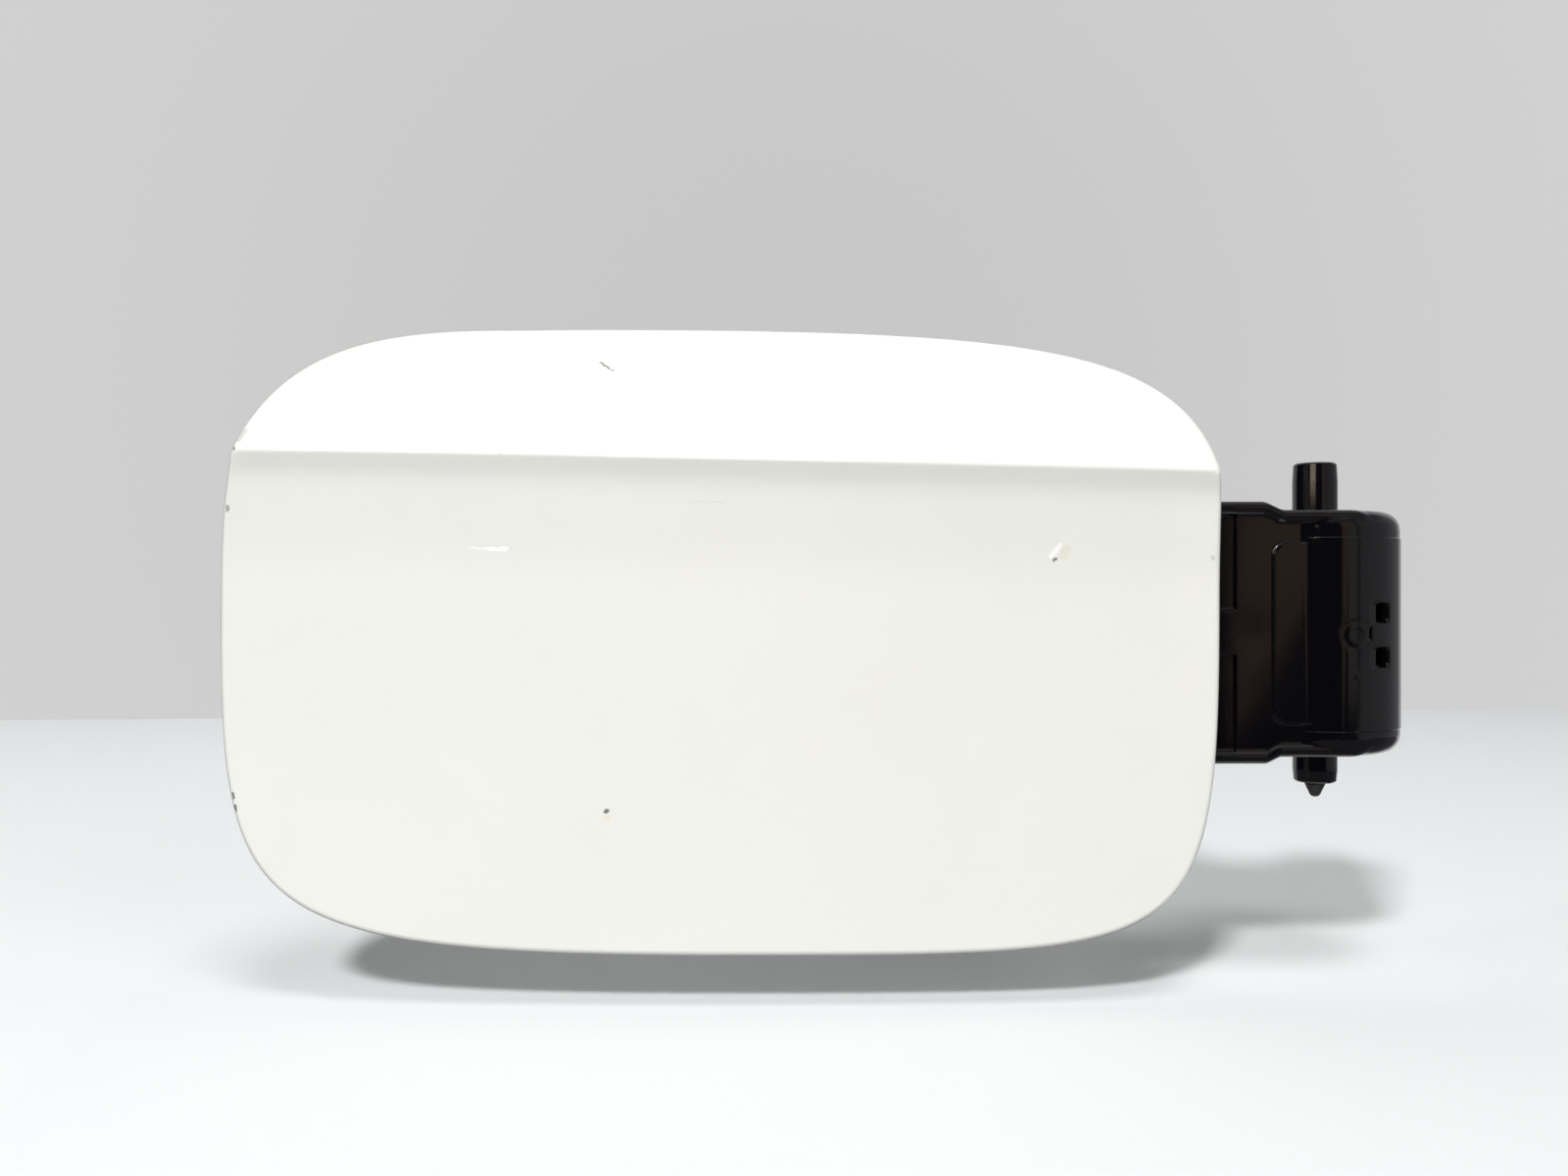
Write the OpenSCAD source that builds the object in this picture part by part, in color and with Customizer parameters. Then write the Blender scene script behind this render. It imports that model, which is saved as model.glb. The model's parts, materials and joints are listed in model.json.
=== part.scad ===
// Car fuel door: a hemmed steel panel on a moulded hinge arm that swings about an upright pivot.
// X runs across the door, with the door on the -X side of the pivot. -Y is the painted side, +Z is up.
// The origin lies on the pivot's axis, at the shoulder where its lower end leaves the drum.

/* [Door outline] */
// Width of the door
door_w = 198.6; // [190:0.5:215]
// Height of the door
door_h = 124.6; // [120:0.5:130]
// How far the door's lowest point lies below the drum
door_drop = 36.5; // [34:0.5:39]
// Gap in X between the pivot's axis and the door's edge
edge_gap = 28.3; // [27.8:0.1:32]
// Place of the highest point, as a share of the width from the latch side
peak_share = 0.263; // [0.2:0.01:0.5]
// Place of the lowest point, as a share of the width from the latch side
base_share = 0.622; // [0.4:0.01:0.7]
// Height of the widest point on the hinge side, as a share of the height
hinge_side_share = 0.695; // [0.5:0.01:0.8]
// Height of the widest point on the latch side, as a share of the height
latch_side_share = 0.572; // [0.4:0.01:0.7]

/* [Door surface] */
// Sideways crown radius of the painted face
crown_r = 1450; // [1000:10:2500]
// Depth of the face's hollow in front of the pivot's axis, at mid width
face_depth = 27; // [26:0.1:32]
// Height of the crease above the drum's lower wall, at mid width
crease_z = 59.8; // [57:0.1:62]
// Fall of the crease towards the hinge, in degrees
crease_fall = 1.2; // [0:0.1:3]
// Lean of the face just above the crease, in degrees
lean_low = 25; // [15:1:28]
// Lean of the face at the door's top, in degrees
lean_high = 35; // [30:1:40]
// Undercut of the face just below the crease, in degrees
undercut = 15; // [8:1:20]
// Radius of the hollow under the crease
hollow_r = 65; // [50:1:90]
// Upright radius of the face below the hollow
belly_r = 800; // [600:10:1500]

/* [Sheet metal] */
// Thickness of the outer skin
skin_t = 0.8; // [0.7:0.05:0.9]
// Thickness of the inner panel
panel_t = 0.8; // [0.6:0.05:0.9]
// Width of the hem's return
hem_w = 8; // [6:0.5:9]
// Clearance on each face of the inner panel inside the hem
hem_gap = 0.05; // [0.03:0.01:0.1]
// Depth of the inner panel's dish behind its flange
dish_depth = 6.2; // [5:0.1:7]
// Draft of the dish's wall, as inset for each millimetre of depth
dish_draft = 0.25; // [0.15:0.01:0.3]
// Diameter of the two round paint holes
paint_hole_d = 20; // [12:1:22]
// Length of the two drain slots
drain_l = 14; // [8:1:18]
// Width of the two drain slots
drain_w = 4; // [3:0.5:6]

/* [Drum of the hinge arm] */
// Outer radius of the drum
drum_r = 16.8; // [16.5:0.1:18]
// Height of the drum
drum_h = 50.6; // [48:0.1:54]
// Wall of the drum, and of the arm's flanges
arm_wall = 2.5; // [2.2:0.1:2.8]
// Rounding of the drum's end edges
drum_round = 3.8; // [2:0.1:4]
// Height of the slightly smaller band at each end of the drum
band_h = 5.7; // [5:0.1:8]
// How much smaller in radius the end bands are
band_step = 0.2; // [0.1:0.05:0.4]
// How far the drum reaches behind the pivot's axis
drum_back = 6; // [5:0.1:9]

/* [Foot of the hinge arm] */
// Distance from the pivot's axis to the far end of the foot
foot_reach = 97; // [90:0.5:110]
// How far the foot reaches past each end of the drum
foot_extra = 1.4; // [0.5:0.1:3]
// How much further it reaches at its top
foot_lift = 0.3; // [0:0.1:0.6]
// Distance in Y from the pivot's axis to the front of the arm's plate
plate_y = 14.8; // [14.4:0.1:15.6]
// How far the foot's seating face lies behind the plate's front
foot_step = 1; // [0.5:0.1:1.5]
// Distance in Y from the pivot's axis to the back of the foot's wall
web_back = 11.6; // [11:0.1:12]
// Distance in Y from the pivot's axis to the back edge of the flanges
flange_back = 4; // [2:0.1:6]
// Width of the raised rim along the plate's edges
rim_w = 2.6; // [1.5:0.1:3.5]
// Height of the raised rim
rim_h = 1; // [0.5:0.1:1.2]
// Distance from the pivot's axis to the step beside the door
strip_reach = 22.2; // [21:0.1:24]
// Height of the lug that stands in that step
lug_h = 9.2; // [6:0.1:12]
// How far the pad beside the drum is raised above the plate
pad_h = 0.4; // [0.2:0.1:0.7]
// Distance of the pad's ends from the drum's ends
pad_margin = 6.8; // [5:0.1:9]
// Thickness of the foot's ribs
rib_t = 2; // [1.5:0.1:2.5]

/* [Windows of the drum] */
// Width of each window's recess
window_w = 5.5; // [4.5:0.1:6.5]
// Height of each window's recess
window_h = 4.4; // [4:0.1:5]
// Distance between the two windows' middles
window_gap = 9.1; // [8.5:0.1:10]
// Height of the middle of the two windows
window_z = 24.9; // [23:0.1:26]
// Direction of the windows from the front, in degrees
window_turn = 26; // [22:1:32]

/* [Pivot] */
// Radius of the upper end of the pivot
upper_r = 4.6; // [4.5:0.05:4.8]
// Radius of the lower end of the pivot
lower_r = 4.55; // [4.4:0.05:4.7]
// Radius of the pivot inside the drum
middle_r = 4; // [3.9:0.05:4.2]
// Length of the upper end that stands out of the drum
upper_l = 10.9; // [9:0.1:14]
// Length of the lower end that stands out of the drum
lower_l = 7.2; // [6:0.1:9]
// Length of the tapered tip of the upper end
upper_taper_l = 4; // [2:0.1:6]
// Length of the tapered tip of the lower end
lower_taper_l = 2.7; // [1:0.1:4]
// Radial clearance between the pivot and the arm's bores
pivot_fit = 0.05; // [0.02:0.01:0.1]
// Thickness of the thrust washers
washer_t = 0.5; // [0.4:0.1:0.8]
// Thickness of the retaining rings
ring_t = 0.8; // [0.6:0.1:1]
// End play between the washers, the rings and the drum's walls
end_play = 0.1; // [0.05:0.01:0.2]

/* [Plunger] */
// Radius of the nub at the lower end
nub_r = 2.1; // [1.8:0.05:2.2]
// Length of the nub that stands out
nub_l = 3.4; // [2.8:0.1:4]
// Radius of the plunger's collar
collar_r = 2.75; // [2.6:0.05:2.8]
// Radial clearance around the plunger
plunger_fit = 0.08; // [0.03:0.01:0.1]
// Depth of the plunger's bore above the lip
plunger_bore_l = 12.3; // [11:0.1:12.6]
// Wire radius of the plunger's spring
small_wire_r = 0.25; // [0.2:0.01:0.3]

/* [Door spring] */
// Wire radius of the door spring
wire_r = 0.8; // [0.6:0.05:0.9]
// Mean radius of the door spring's coils
coil_r = 7.6; // [7:0.1:8.5]
// Turns in each of the two coils
coil_turns = 4.25; // [3.25:1:5.25]
// Rise of each turn
coil_pitch = 1.9; // [1.9:0.1:2.1]

/* [Fastenings] */
// Shank radius of the arm's screws
screw_r = 2.4; // [2:0.1:2.6]
// Head radius of the arm's screws
screw_head_r = 5; // [4.5:0.1:5.5]
// Head height of the arm's screws
screw_head_h = 3.4; // [2.5:0.1:4]
// Thickness of the weld nuts
nut_t = 4; // [3:0.1:4.5]
// Distance across the corners of the weld nuts
nut_w = 9.6; // [9:0.1:11]
// Height of the seat under each screw head, above the back of the foot's wall
boss_h = 3; // [1:0.1:4]
// Radial clearance of the screws in the arm and the panel
screw_gap = 0.35; // [0.1:0.05:0.6]

/* [Latch side] */
// Height of each rubber stop
stop_h = 6; // [4:0.5:9]
// Radius of each rubber stop
stop_r = 6; // [4:0.5:7]
// Distance between the two rubber stops
stop_gap = 50; // [46:1:54]
// Thickness of the latch catch
catch_t = 1.5; // [1:0.1:2]
// Width of the latch catch
catch_w = 18; // [14:0.5:20]
// Reach of the catch's eye behind its base
catch_reach = 12; // [9:0.5:16]
// Radius of the catch's eye
eye_r = 3.5; // [2.5:0.1:4.5]
// Shank radius of the catch's rivets
rivet_r = 1.6; // [1.2:0.1:1.8]

/* [Hidden] */
$fn = 96;

// Colours
white_paint = [0.93, 0.93, 0.92];
black_plastic = [0.07, 0.07, 0.08];
black_rubber = [0.13, 0.13, 0.13];
bright_zinc = [0.75, 0.74, 0.70];
spring_steel = [0.55, 0.56, 0.58];
grey_mastic = [0.45, 0.45, 0.43];

// A margin by which cutting shapes pass the faces that they cut
past = 1;
// A small overlap that fuses shapes of one piece
bite = 0.01;

// Points along a circle's arc in 2D, from angle a0 to a1
function arc(c, r, a0, a1, steps) =
    [for (i = [0:steps]) let(a = a0 + (a1 - a0) * i / steps) c + r * [cos(a), sin(a)]];

// A rectangle with round corners around the origin
function round_rect(w, h, r, steps = 6) = concat(
    arc([w / 2 - r, h / 2 - r], r, 0, 90, steps), arc([r - w / 2, h / 2 - r], r, 90, 180, steps),
    arc([r - w / 2, r - h / 2], r, 180, 270, steps), arc([w / 2 - r, r - h / 2], r, 270, 360, steps));

// A point at a distance r from the pivot's axis, turned from the front (-Y) towards +X
function around(r, turn, z) = [r * sin(turn), -r * cos(turn), z];

// Drawn in X and Z, and extruded from the front y0 to the back y1
module plate_xz(y0, y1) {
    translate([0, y1, 0]) rotate([90, 0, 0]) linear_extrude(y1 - y0) children();
}

// A solid of revolution about a line along Y through x and z. Its profile has radius in X and y in Y.
module turned_along_y(x, z) {
    translate([x, 0, z]) rotate([-90, 0, 0]) rotate_extrude() children();
}

// A round bar along Y
module bar_y(x, z, r, y0, y1) {
    translate([x, y0, z]) rotate([-90, 0, 0]) cylinder(r = r, h = y1 - y0);
}

// The door's outline: four cubic curves between its highest, lowest and two widest points
door_left = -edge_gap - door_w;
door_top = door_h - door_drop;
door_mid_x = -edge_gap - door_w / 2;
door_mid_z = door_top - door_h / 2;
peak_point = [door_left + peak_share * door_w, door_top];
hinge_point = [-edge_gap, hinge_side_share * door_h - door_drop];
base_point = [door_left + base_share * door_w, -door_drop];
latch_point = [door_left, latch_side_share * door_h - door_drop];
outline_steps = 20;

function cubic(a, b, c, d, t) =
    pow(1 - t, 3) * a + 3 * pow(1 - t, 2) * t * b + 3 * (1 - t) * t * t * c + pow(t, 3) * d;

// One quarter of the outline, leaving a along X or Z (flat) and reaching d across it.
// reach holds the two handles' lengths as shares of the quarter's size.
function quarter(a, d, flat, reach) =
    let(b = flat ? [a.x + reach[0] * (d.x - a.x), a.y] : [a.x, a.y + reach[0] * (d.y - a.y)],
        c = flat ? [d.x, d.y - reach[1] * (d.y - a.y)] : [d.x - reach[1] * (d.x - a.x), d.y])
    [for (i = [0:outline_steps - 1]) cubic(a, b, c, d, i / outline_steps)];

door_points = concat(
    quarter(peak_point, hinge_point, true, [0.75, 1]),
    quarter(hinge_point, base_point, false, [0.97, 1]),
    quarter(base_point, latch_point, true, [0.95, 1]),
    quarter(latch_point, peak_point, false, [0.8, 0.73]));

// The outline's point i, moved inwards by a distance
function inset_point(i, inset) =
    let(n = len(door_points), run = door_points[(i + 1) % n] - door_points[(i + n - 1) % n])
    door_points[i] + inset * [run.y, -run.x] / norm(run);

function door_outline(inset) = [for (i = [0:len(door_points) - 1]) inset_point(i, inset)];

// Cutting shapes for the door start before its face, and the prism ends behind the hem
prism_front = -face_depth - 25;
prism_back = 10;
hole_front = -face_depth - 5;

module door_prism(inset) {
    plate_xz(prism_front, prism_back) polygon(door_outline(inset));
}

// The face's upright profile, as [outward, up] from the hollow's deepest line and the crease's height
crease_out = hollow_r * (1 - cos(undercut));
hollow_drop = hollow_r * sin(undercut);
top_rise = door_top - crease_z;
top_r = top_rise / (sin(lean_high) - sin(lean_low));
spare = 6;
belly_sweep = asin((door_h - top_rise - hollow_drop + spare) / belly_r);
top_sweep = asin(sin(lean_low) + (top_rise + spare) / top_r) - lean_low;

belly_arc = arc([belly_r, -hollow_drop], belly_r, 180 + belly_sweep, 180, 8);
hollow_arc = arc([hollow_r, -hollow_drop], hollow_r, 180, 180 - undercut, 8);
top_arc = arc([-crease_out + top_r * cos(lean_low), -top_r * sin(lean_low)], top_r,
    180 - lean_low, 180 - lean_low - top_sweep, 8);

// Distance behind the hollow's deepest line, and height, along the face from bottom to top
face_line = concat(
    [for (p = belly_arc) [-p.x, p.y]],
    [for (i = [1:len(hollow_arc) - 1]) [-hollow_arc[i].x, hollow_arc[i].y]],
    [for (i = [1:len(top_arc) - 1]) top_arc[i]]);

// A sheet that follows the face, between two depths behind it
sheet_turn = 12;
module sheet(depth0, depth1) {
    line = face_line;
    last = len(line) - 1;
    translate([door_mid_x, crown_r - face_depth, crease_z]) rotate([0, crease_fall, 0])
        rotate([0, 0, -90 - sheet_turn / 2]) rotate_extrude(angle = sheet_turn, $fn = 360)
            polygon(concat([for (p = line) [crown_r - p.x - depth0, p.y]],
                [for (i = [last:-1:0]) [crown_r - line[i].x - depth1, line[i].y]]));
}

// Depths behind the painted face
flange_front = skin_t + hem_gap;
flange_rear = flange_front + panel_t;
return_front = flange_rear + hem_gap;
hem_t = return_front + skin_t;
dish_rear = flange_rear + dish_depth;
dish_front = dish_rear - panel_t;

// The block that shapes the dish's sloping wall, widest at the front, at y = -dish_level
dish_level = face_depth + 8;
dish_inset = hem_w + 2.5;
module dish_block(inset) {
    back_inset = inset + dish_draft * dish_level;
    back_w = door_w - 2 * back_inset;
    back_h = door_h - 2 * back_inset;
    back_scale = [(door_w - 2 * inset) / back_w, (door_h - 2 * inset) / back_h];
    translate([door_mid_x, 0, door_mid_z]) rotate([90, 0, 0])
        linear_extrude(dish_level, scale = back_scale, slices = 1, segments = 0, $fn = 0)
            polygon([for (p = door_outline(back_inset)) p - [door_mid_x, door_mid_z]]);
}

// The arm's foot and what it is screwed to
seat_y = -plate_y + foot_step;
foot_left = -foot_reach;
foot_low = -foot_extra;
foot_high = drum_h + foot_extra + foot_lift;
foot_mid_z = drum_h / 2;
screw_margin = 11;
dish_edge = dish_inset + dish_draft * (dish_level - plate_y);
foot_seat_right = -edge_gap - dish_edge - 3;
foot_seat_w = foot_seat_right - foot_left + 1;
foot_seat_x = foot_seat_right - foot_seat_w / 2;
foot_seat_h = drum_h + 2 * foot_extra - 1;
screw_inner_x = foot_seat_right - screw_margin - 3;
screw_outer_x = foot_left + screw_margin;
screw_places = [[screw_inner_x, foot_low + screw_margin], [screw_inner_x, foot_high - screw_margin],
    [screw_outer_x, foot_mid_z]];

// The latch side's seat and what it carries
latch_step = 1.7;
latch_seat_y = seat_y - latch_step;
latch_seat_w = 25;
latch_seat_x = door_left + dish_edge + 2 + latch_seat_w / 2;
latch_seat_z = foot_mid_z + 1.5;
latch_seat_h = stop_gap + 2 * stop_r + 10;
stop_x = latch_seat_x;
stop_places = [latch_seat_z + stop_gap / 2, latch_seat_z - stop_gap / 2];
rivet_x = latch_seat_x + 4;
rivet_places = [latch_seat_z + catch_w / 4, latch_seat_z - catch_w / 4];
rivet_fit = 0.05;
stem_r = 2.9;
stem_fit = 0.05;

// Seats pressed into the dish, as [x, z, width, height, y of the rear face]
seats = [[foot_seat_x, foot_mid_z, foot_seat_w, foot_seat_h, seat_y],
    [latch_seat_x, latch_seat_z, latch_seat_w, latch_seat_h, latch_seat_y]];
seat_corner = 6;
seat_front = -face_depth + 4;

// One seat's block, from inside the dish to a face that lies a sheet's thickness or none before its rear
module seat_block(seat, thinner) {
    translate([seat[0], 0, seat[1]]) plate_xz(seat_front, seat[4] - thinner)
        polygon(round_rect(seat[2] - 2 * thinner, seat[3] - 2 * thinner, seat_corner - thinner));
}

// Holes in the inner panel that nothing fills
paint_holes = [[door_mid_x - 30, door_mid_z + 6], [door_mid_x + 8, door_mid_z - 34]];
drain_slots = [[door_mid_x - 48, door_mid_z - 42], [door_mid_x + 48, door_mid_z - 42]];
mastic_places = [[door_mid_x - 4, door_mid_z + 20], [door_mid_x - 44, door_mid_z - 22]];
mastic_r = 7;

module outer_skin() {
    color(white_paint) difference() {
        intersection() {
            sheet(0, hem_t);
            door_prism(0);
        }
        intersection() {
            sheet(skin_t, return_front);
            door_prism(skin_t);
        }
        intersection() {
            sheet(flange_rear, hem_t + past);
            door_prism(hem_w);
        }
    }
}

module inner_panel() {
    color(white_paint) difference() {
        union() {
            intersection() {
                sheet(flange_front, flange_rear);
                door_prism(skin_t + hem_gap);
            }
            intersection() {
                sheet(flange_front, dish_rear);
                dish_block(dish_inset);
            }
            for (seat = seats) seat_block(seat, 0);
        }
        intersection() {
            sheet(flange_front - past, dish_front);
            dish_block(dish_inset + panel_t);
        }
        for (seat = seats) seat_block(seat, panel_t);
        panel_holes();
    }
}

module panel_holes() {
    for (p = screw_places) bar_y(p[0], p[1], screw_r + screw_gap, hole_front, past);
    for (z = stop_places) bar_y(stop_x, z, stem_r + stem_fit, hole_front, past);
    for (z = rivet_places) bar_y(rivet_x, z, rivet_r + rivet_fit, hole_front, past);
    for (p = paint_holes) bar_y(p[0], p[1], paint_hole_d / 2, hole_front, past);
    for (p = drain_slots) translate([p[0], 0, p[1]]) plate_xz(hole_front, past)
        polygon(round_rect(drain_l, drain_w, drain_w / 2 - bite));
}

module mastic_pad(place) {
    color(grey_mastic) intersection() {
        sheet(skin_t, dish_front);
        bar_y(place[0], place[1], mastic_r, hole_front, 0);
    }
}

// The arm's outline from the front, from the foot to the pivot's axis. Its upper edge comes down to the
// drum in a soft sweep, and its lower edge rises to it from a tighter kink.
foot_corner = 8;
shoulder_x = -drum_r - 0.4;
shoulder_r = 3.5;
sweep_x = shoulder_x + 5;
sweep_r = 3;
sweep_angle = 25;
kink_x = shoulder_x + 0.8;
kink_r = 1.6;
low_sweep_x = shoulder_x + 4.2;
low_sweep_r = 1.4;
low_sweep_angle = 35;
function arm_points(inset) =
    let(low = foot_low + inset, high = foot_high - inset, corner_x = foot_left + foot_corner)
    concat(arc([corner_x, foot_high - foot_corner], foot_corner - inset, 180, 90, 6),
        arc([shoulder_x, high - shoulder_r], shoulder_r, 90, 90 - sweep_angle, 4),
        arc([sweep_x, drum_h - inset + sweep_r], sweep_r, 270 - sweep_angle, 270, 4),
        [[0, drum_h - inset], [0, inset]],
        arc([low_sweep_x, inset - low_sweep_r], low_sweep_r, 90, 90 + low_sweep_angle, 4),
        arc([kink_x, low + kink_r], kink_r, 270 + low_sweep_angle, 270, 4),
        arc([corner_x, foot_low + foot_corner], foot_corner - inset, 270, 180, 6));

// The rims are round beads along both edges. They start under the door and sink into the drum's round edge.
strip_x = -strip_reach;
plate_right = -6;
rim_left = -edge_gap - hem_w + 1;
rim_r = rim_w / 2;
rim_in = rim_r + 0.05;
rim_y = -plate_y - rim_h + rim_r;
upper_edge = concat([[rim_left, foot_high - rim_in]],
    arc([shoulder_x, foot_high - shoulder_r], shoulder_r - rim_in, 90, 90 - sweep_angle, 3),
    arc([sweep_x, drum_h + sweep_r], sweep_r + rim_in, 270 - sweep_angle, 270, 3),
    [[plate_right, drum_h - rim_in]]);
lower_edge = concat([[rim_left, foot_low + rim_in], [kink_x + 0.3, foot_low + rim_in]],
    arc([low_sweep_x, -low_sweep_r], low_sweep_r + rim_in, 90 + low_sweep_angle, 90, 3),
    [[plate_right, rim_in]]);
function rim_line(edge) = let(z = edge[len(edge) - 1].y)
    concat([for (p = edge) [p.x, rim_y, p.y]],
        [[rim_end, rim_y, z], [rim_end + 1.6, rim_y + 0.7, z], [rim_end + 3.1, rim_y + 2.2, z]]);
rim_end = 0.9;

// The drum's outer shape, with a round edge and a slightly smaller band at each end
module drum_block() {
    end_r = drum_r - band_step;
    rotate_extrude(angle = 360) polygon(concat(
        [[0, 0]], arc([end_r - drum_round, drum_round], drum_round, 270, 360, 6),
        [[end_r, band_h], [drum_r, band_h], [drum_r, drum_h - band_h], [end_r, drum_h - band_h]],
        arc([end_r - drum_round, drum_h - drum_round], drum_round, 0, 90, 6), [[0, drum_h]]));
}

// Heights of the two windows' middles
window_places = [window_z + window_gap / 2, window_z - window_gap / 2];
inner_r = drum_r - arm_wall;

// A window's recess and the smaller hole behind it, through which the hook's tool leaves
hole_w = window_w - 2.2;
hole_h = window_h - 0.4;
hole_shift = 0.7;
module window_cut(z) {
    rotate([0, 0, window_turn]) translate([0, 0, z]) {
        translate([-window_w / 2, -drum_r - past, -window_h / 2]) cube([window_w, past + 0.6, window_h]);
        translate([hole_shift - hole_w / 2, -drum_r - past, -hole_h / 2])
            cube([hole_w, arm_wall + 2 * past, hole_h]);
    }
}

// Where the spring's bridge runs, and the hook that holds it
bridge_gap = 0.15;
bridge_r = inner_r - wire_r - bridge_gap;
hook_h = 3.8;
hook_t = 1.2;
module spring_hook(z) {
    root_x = hole_shift + hole_w / 2 + 0.1;
    lip_y = -bridge_r + wire_r + 0.2;
    rotate([0, 0, window_turn]) translate([0, 0, z - hook_h / 2]) {
        translate([root_x, -inner_r - 0.5, 0]) cube([hook_t, inner_r + 0.5 + lip_y + hook_t, hook_h]);
        translate([-wire_r, lip_y, 0]) cube([root_x + wire_r + hook_t, hook_t, hook_h]);
    }
}

// The round gate mark and the slit beside it, on the drum's front
module moulding_marks() {
    ring_turn = window_turn - 20;
    slit_turn = window_turn - 9.7;
    ring_r = 3.1;
    groove_w = 0.7;
    slit_w = 0.6;
    slit_h = 3;
    mark_depth = past + 0.5;
    rotate([0, 0, ring_turn]) translate([0, -drum_r - past, window_z + 0.1]) rotate([-90, 0, 0])
        difference() {
            cylinder(r = ring_r, h = mark_depth);
            translate([0, 0, -past]) cylinder(r = ring_r - groove_w, h = mark_depth + 2 * past);
        }
    rotate([0, 0, slit_turn]) translate([-slit_w / 2, -drum_r - past, window_z + 0.2 - slit_h / 2])
        cube([slit_w, mark_depth, slit_h]);
}

// Ribs across the open back of the foot
module foot_ribs() {
    rib_front = -web_back - bite;
    rib_depth = web_back - flange_back - 1;
    upright_x = (screw_inner_x + screw_outer_x) / 2;
    for (x = [upright_x, foot_seat_right]) translate([x - rib_t / 2, rib_front, foot_low + arm_wall / 2])
        cube([rib_t, rib_depth, foot_high - foot_low - arm_wall]);
    translate([upright_x, rib_front, foot_mid_z - rib_t / 2]) cube([-upright_x - drum_r, rib_depth, rib_t]);
}

module hinge_arm() {
    boss_r = screw_head_r + 1.2;
    bore_h = arm_wall + 2 * past;
    color(black_plastic) difference() {
        union() {
            difference() {
                union() {
                    drum_block();
                    plate_xz(seat_y, -flange_back) polygon(arm_points(0));
                    front_plate();
                }
                arm_hollow();
            }
            foot_ribs();
            for (p = screw_places) bar_y(p[0], p[1], boss_r, -web_back - bite, head_y);
            for (z = window_places) spring_hook(z);
        }
        for (z = window_places) window_cut(z);
        moulding_marks();
        for (p = screw_places) bar_y(p[0], p[1], screw_r + screw_gap, -plate_y - past, 0);
        translate([0, 0, -past]) cylinder(r = low_journal_r + pivot_fit, h = bore_h);
        translate([0, 0, drum_h - arm_wall - past]) cylinder(r = high_journal_r + pivot_fit, h = bore_h);
    }
}

// The arm's hollow, which is open at the back
module arm_hollow() {
    open_w = 2 * (drum_r + past);
    plate_xz(-web_back, drum_r + past) polygon(arm_points(arm_wall));
    translate([0, 0, arm_wall]) cylinder(r = inner_r, h = drum_h - 2 * arm_wall);
    translate([-open_w / 2, drum_back, -past]) cube([open_w, drum_r, drum_h + 2 * past]);
}

// Everything that stands out of the arm's front: the plate, its rims, a pad beside the drum, and a lug
module front_plate() {
    tall = foot_high - foot_low + 2 * past;
    pad_left = shoulder_x + 2.5;
    pad_w = -pad_left / 2;
    intersection() {
        plate_xz(-plate_y, -web_back) polygon(arm_points(rim_r));
        translate([strip_x, -plate_y - past, foot_low - past]) cube([plate_right - strip_x, drum_r, tall]);
    }
    intersection() {
        plate_xz(rim_y, -web_back) difference() {
            polygon(arm_points(0));
            polygon(arm_points(rim_w));
        }
        translate([rim_left, -plate_y - past, foot_low - past]) cube([plate_right - rim_left, drum_r, tall]);
    }
    for (edge = [upper_edge, lower_edge]) wire(rim_line(edge), rim_r, 12, [0, 0, 1]);
    plate_xz(-plate_y - pad_h, -web_back) translate([pad_left + pad_w / 2, foot_mid_z])
        polygon(round_rect(pad_w, drum_h - 2 * pad_margin, 2.5));
    translate([rim_left, -plate_y, window_z + 0.7 - lug_h / 2])
        cube([strip_x - rim_left + bite, plate_y - web_back, lug_h]);
}

// The screw's head rests on the arm's boss, and its tip passes the weld nut
head_y = -web_back + boss_h;
nut_y = seat_y - panel_t - nut_t;
module arm_screw(place) {
    tip_y = nut_y - 1;
    socket_w = 0.9 * screw_head_r;
    washer_r = screw_head_r + 1;
    top_y = head_y + screw_head_h;
    top_round = 1.2;
    color(bright_zinc) difference() {
        turned_along_y(place[0], place[1]) polygon(concat(
            [[0, tip_y], [screw_r - 0.5, tip_y], [screw_r, tip_y + 0.5], [screw_r, head_y],
                [washer_r, head_y], [washer_r, head_y + 0.9], [screw_head_r, head_y + 1.1]],
            arc([screw_head_r - top_round, top_y - top_round], top_round, 0, 90, 4), [[0, top_y]]));
        translate([place[0], head_y + 0.4 * screw_head_h, place[1]]) rotate([-90, 0, 0])
            cylinder(d = socket_w, h = screw_head_h, $fn = 6);
    }
}

module weld_nut(place) {
    color(bright_zinc) translate([place[0], nut_y, place[1]]) rotate([-90, 0, 0]) difference() {
        cylinder(d = nut_w, h = nut_t, $fn = 6);
        translate([0, 0, -past]) cylinder(r = screw_r + 0.05, h = nut_t + 2 * past);
    }
}

// A rubber stop: a domed head on the seat, and a stem whose barb snaps in behind the panel
module bump_stop(z) {
    barb_y = latch_seat_y - panel_t - 0.1;
    barb_r = stem_r + 0.9;
    color(black_rubber) turned_along_y(stop_x, z) polygon(concat(
        [[0, barb_y - 2.6], [stem_r - 0.6, barb_y - 2.6], [barb_r, barb_y - 0.4], [barb_r, barb_y],
            [stem_r, barb_y], [stem_r, latch_seat_y], [stop_r, latch_seat_y], [stop_r, latch_seat_y + 1.5]],
        arc([stop_r - 2.6, latch_seat_y + stop_h - 2], 2, 0, 90, 5), [[0, latch_seat_y + stop_h]]));
}

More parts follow.
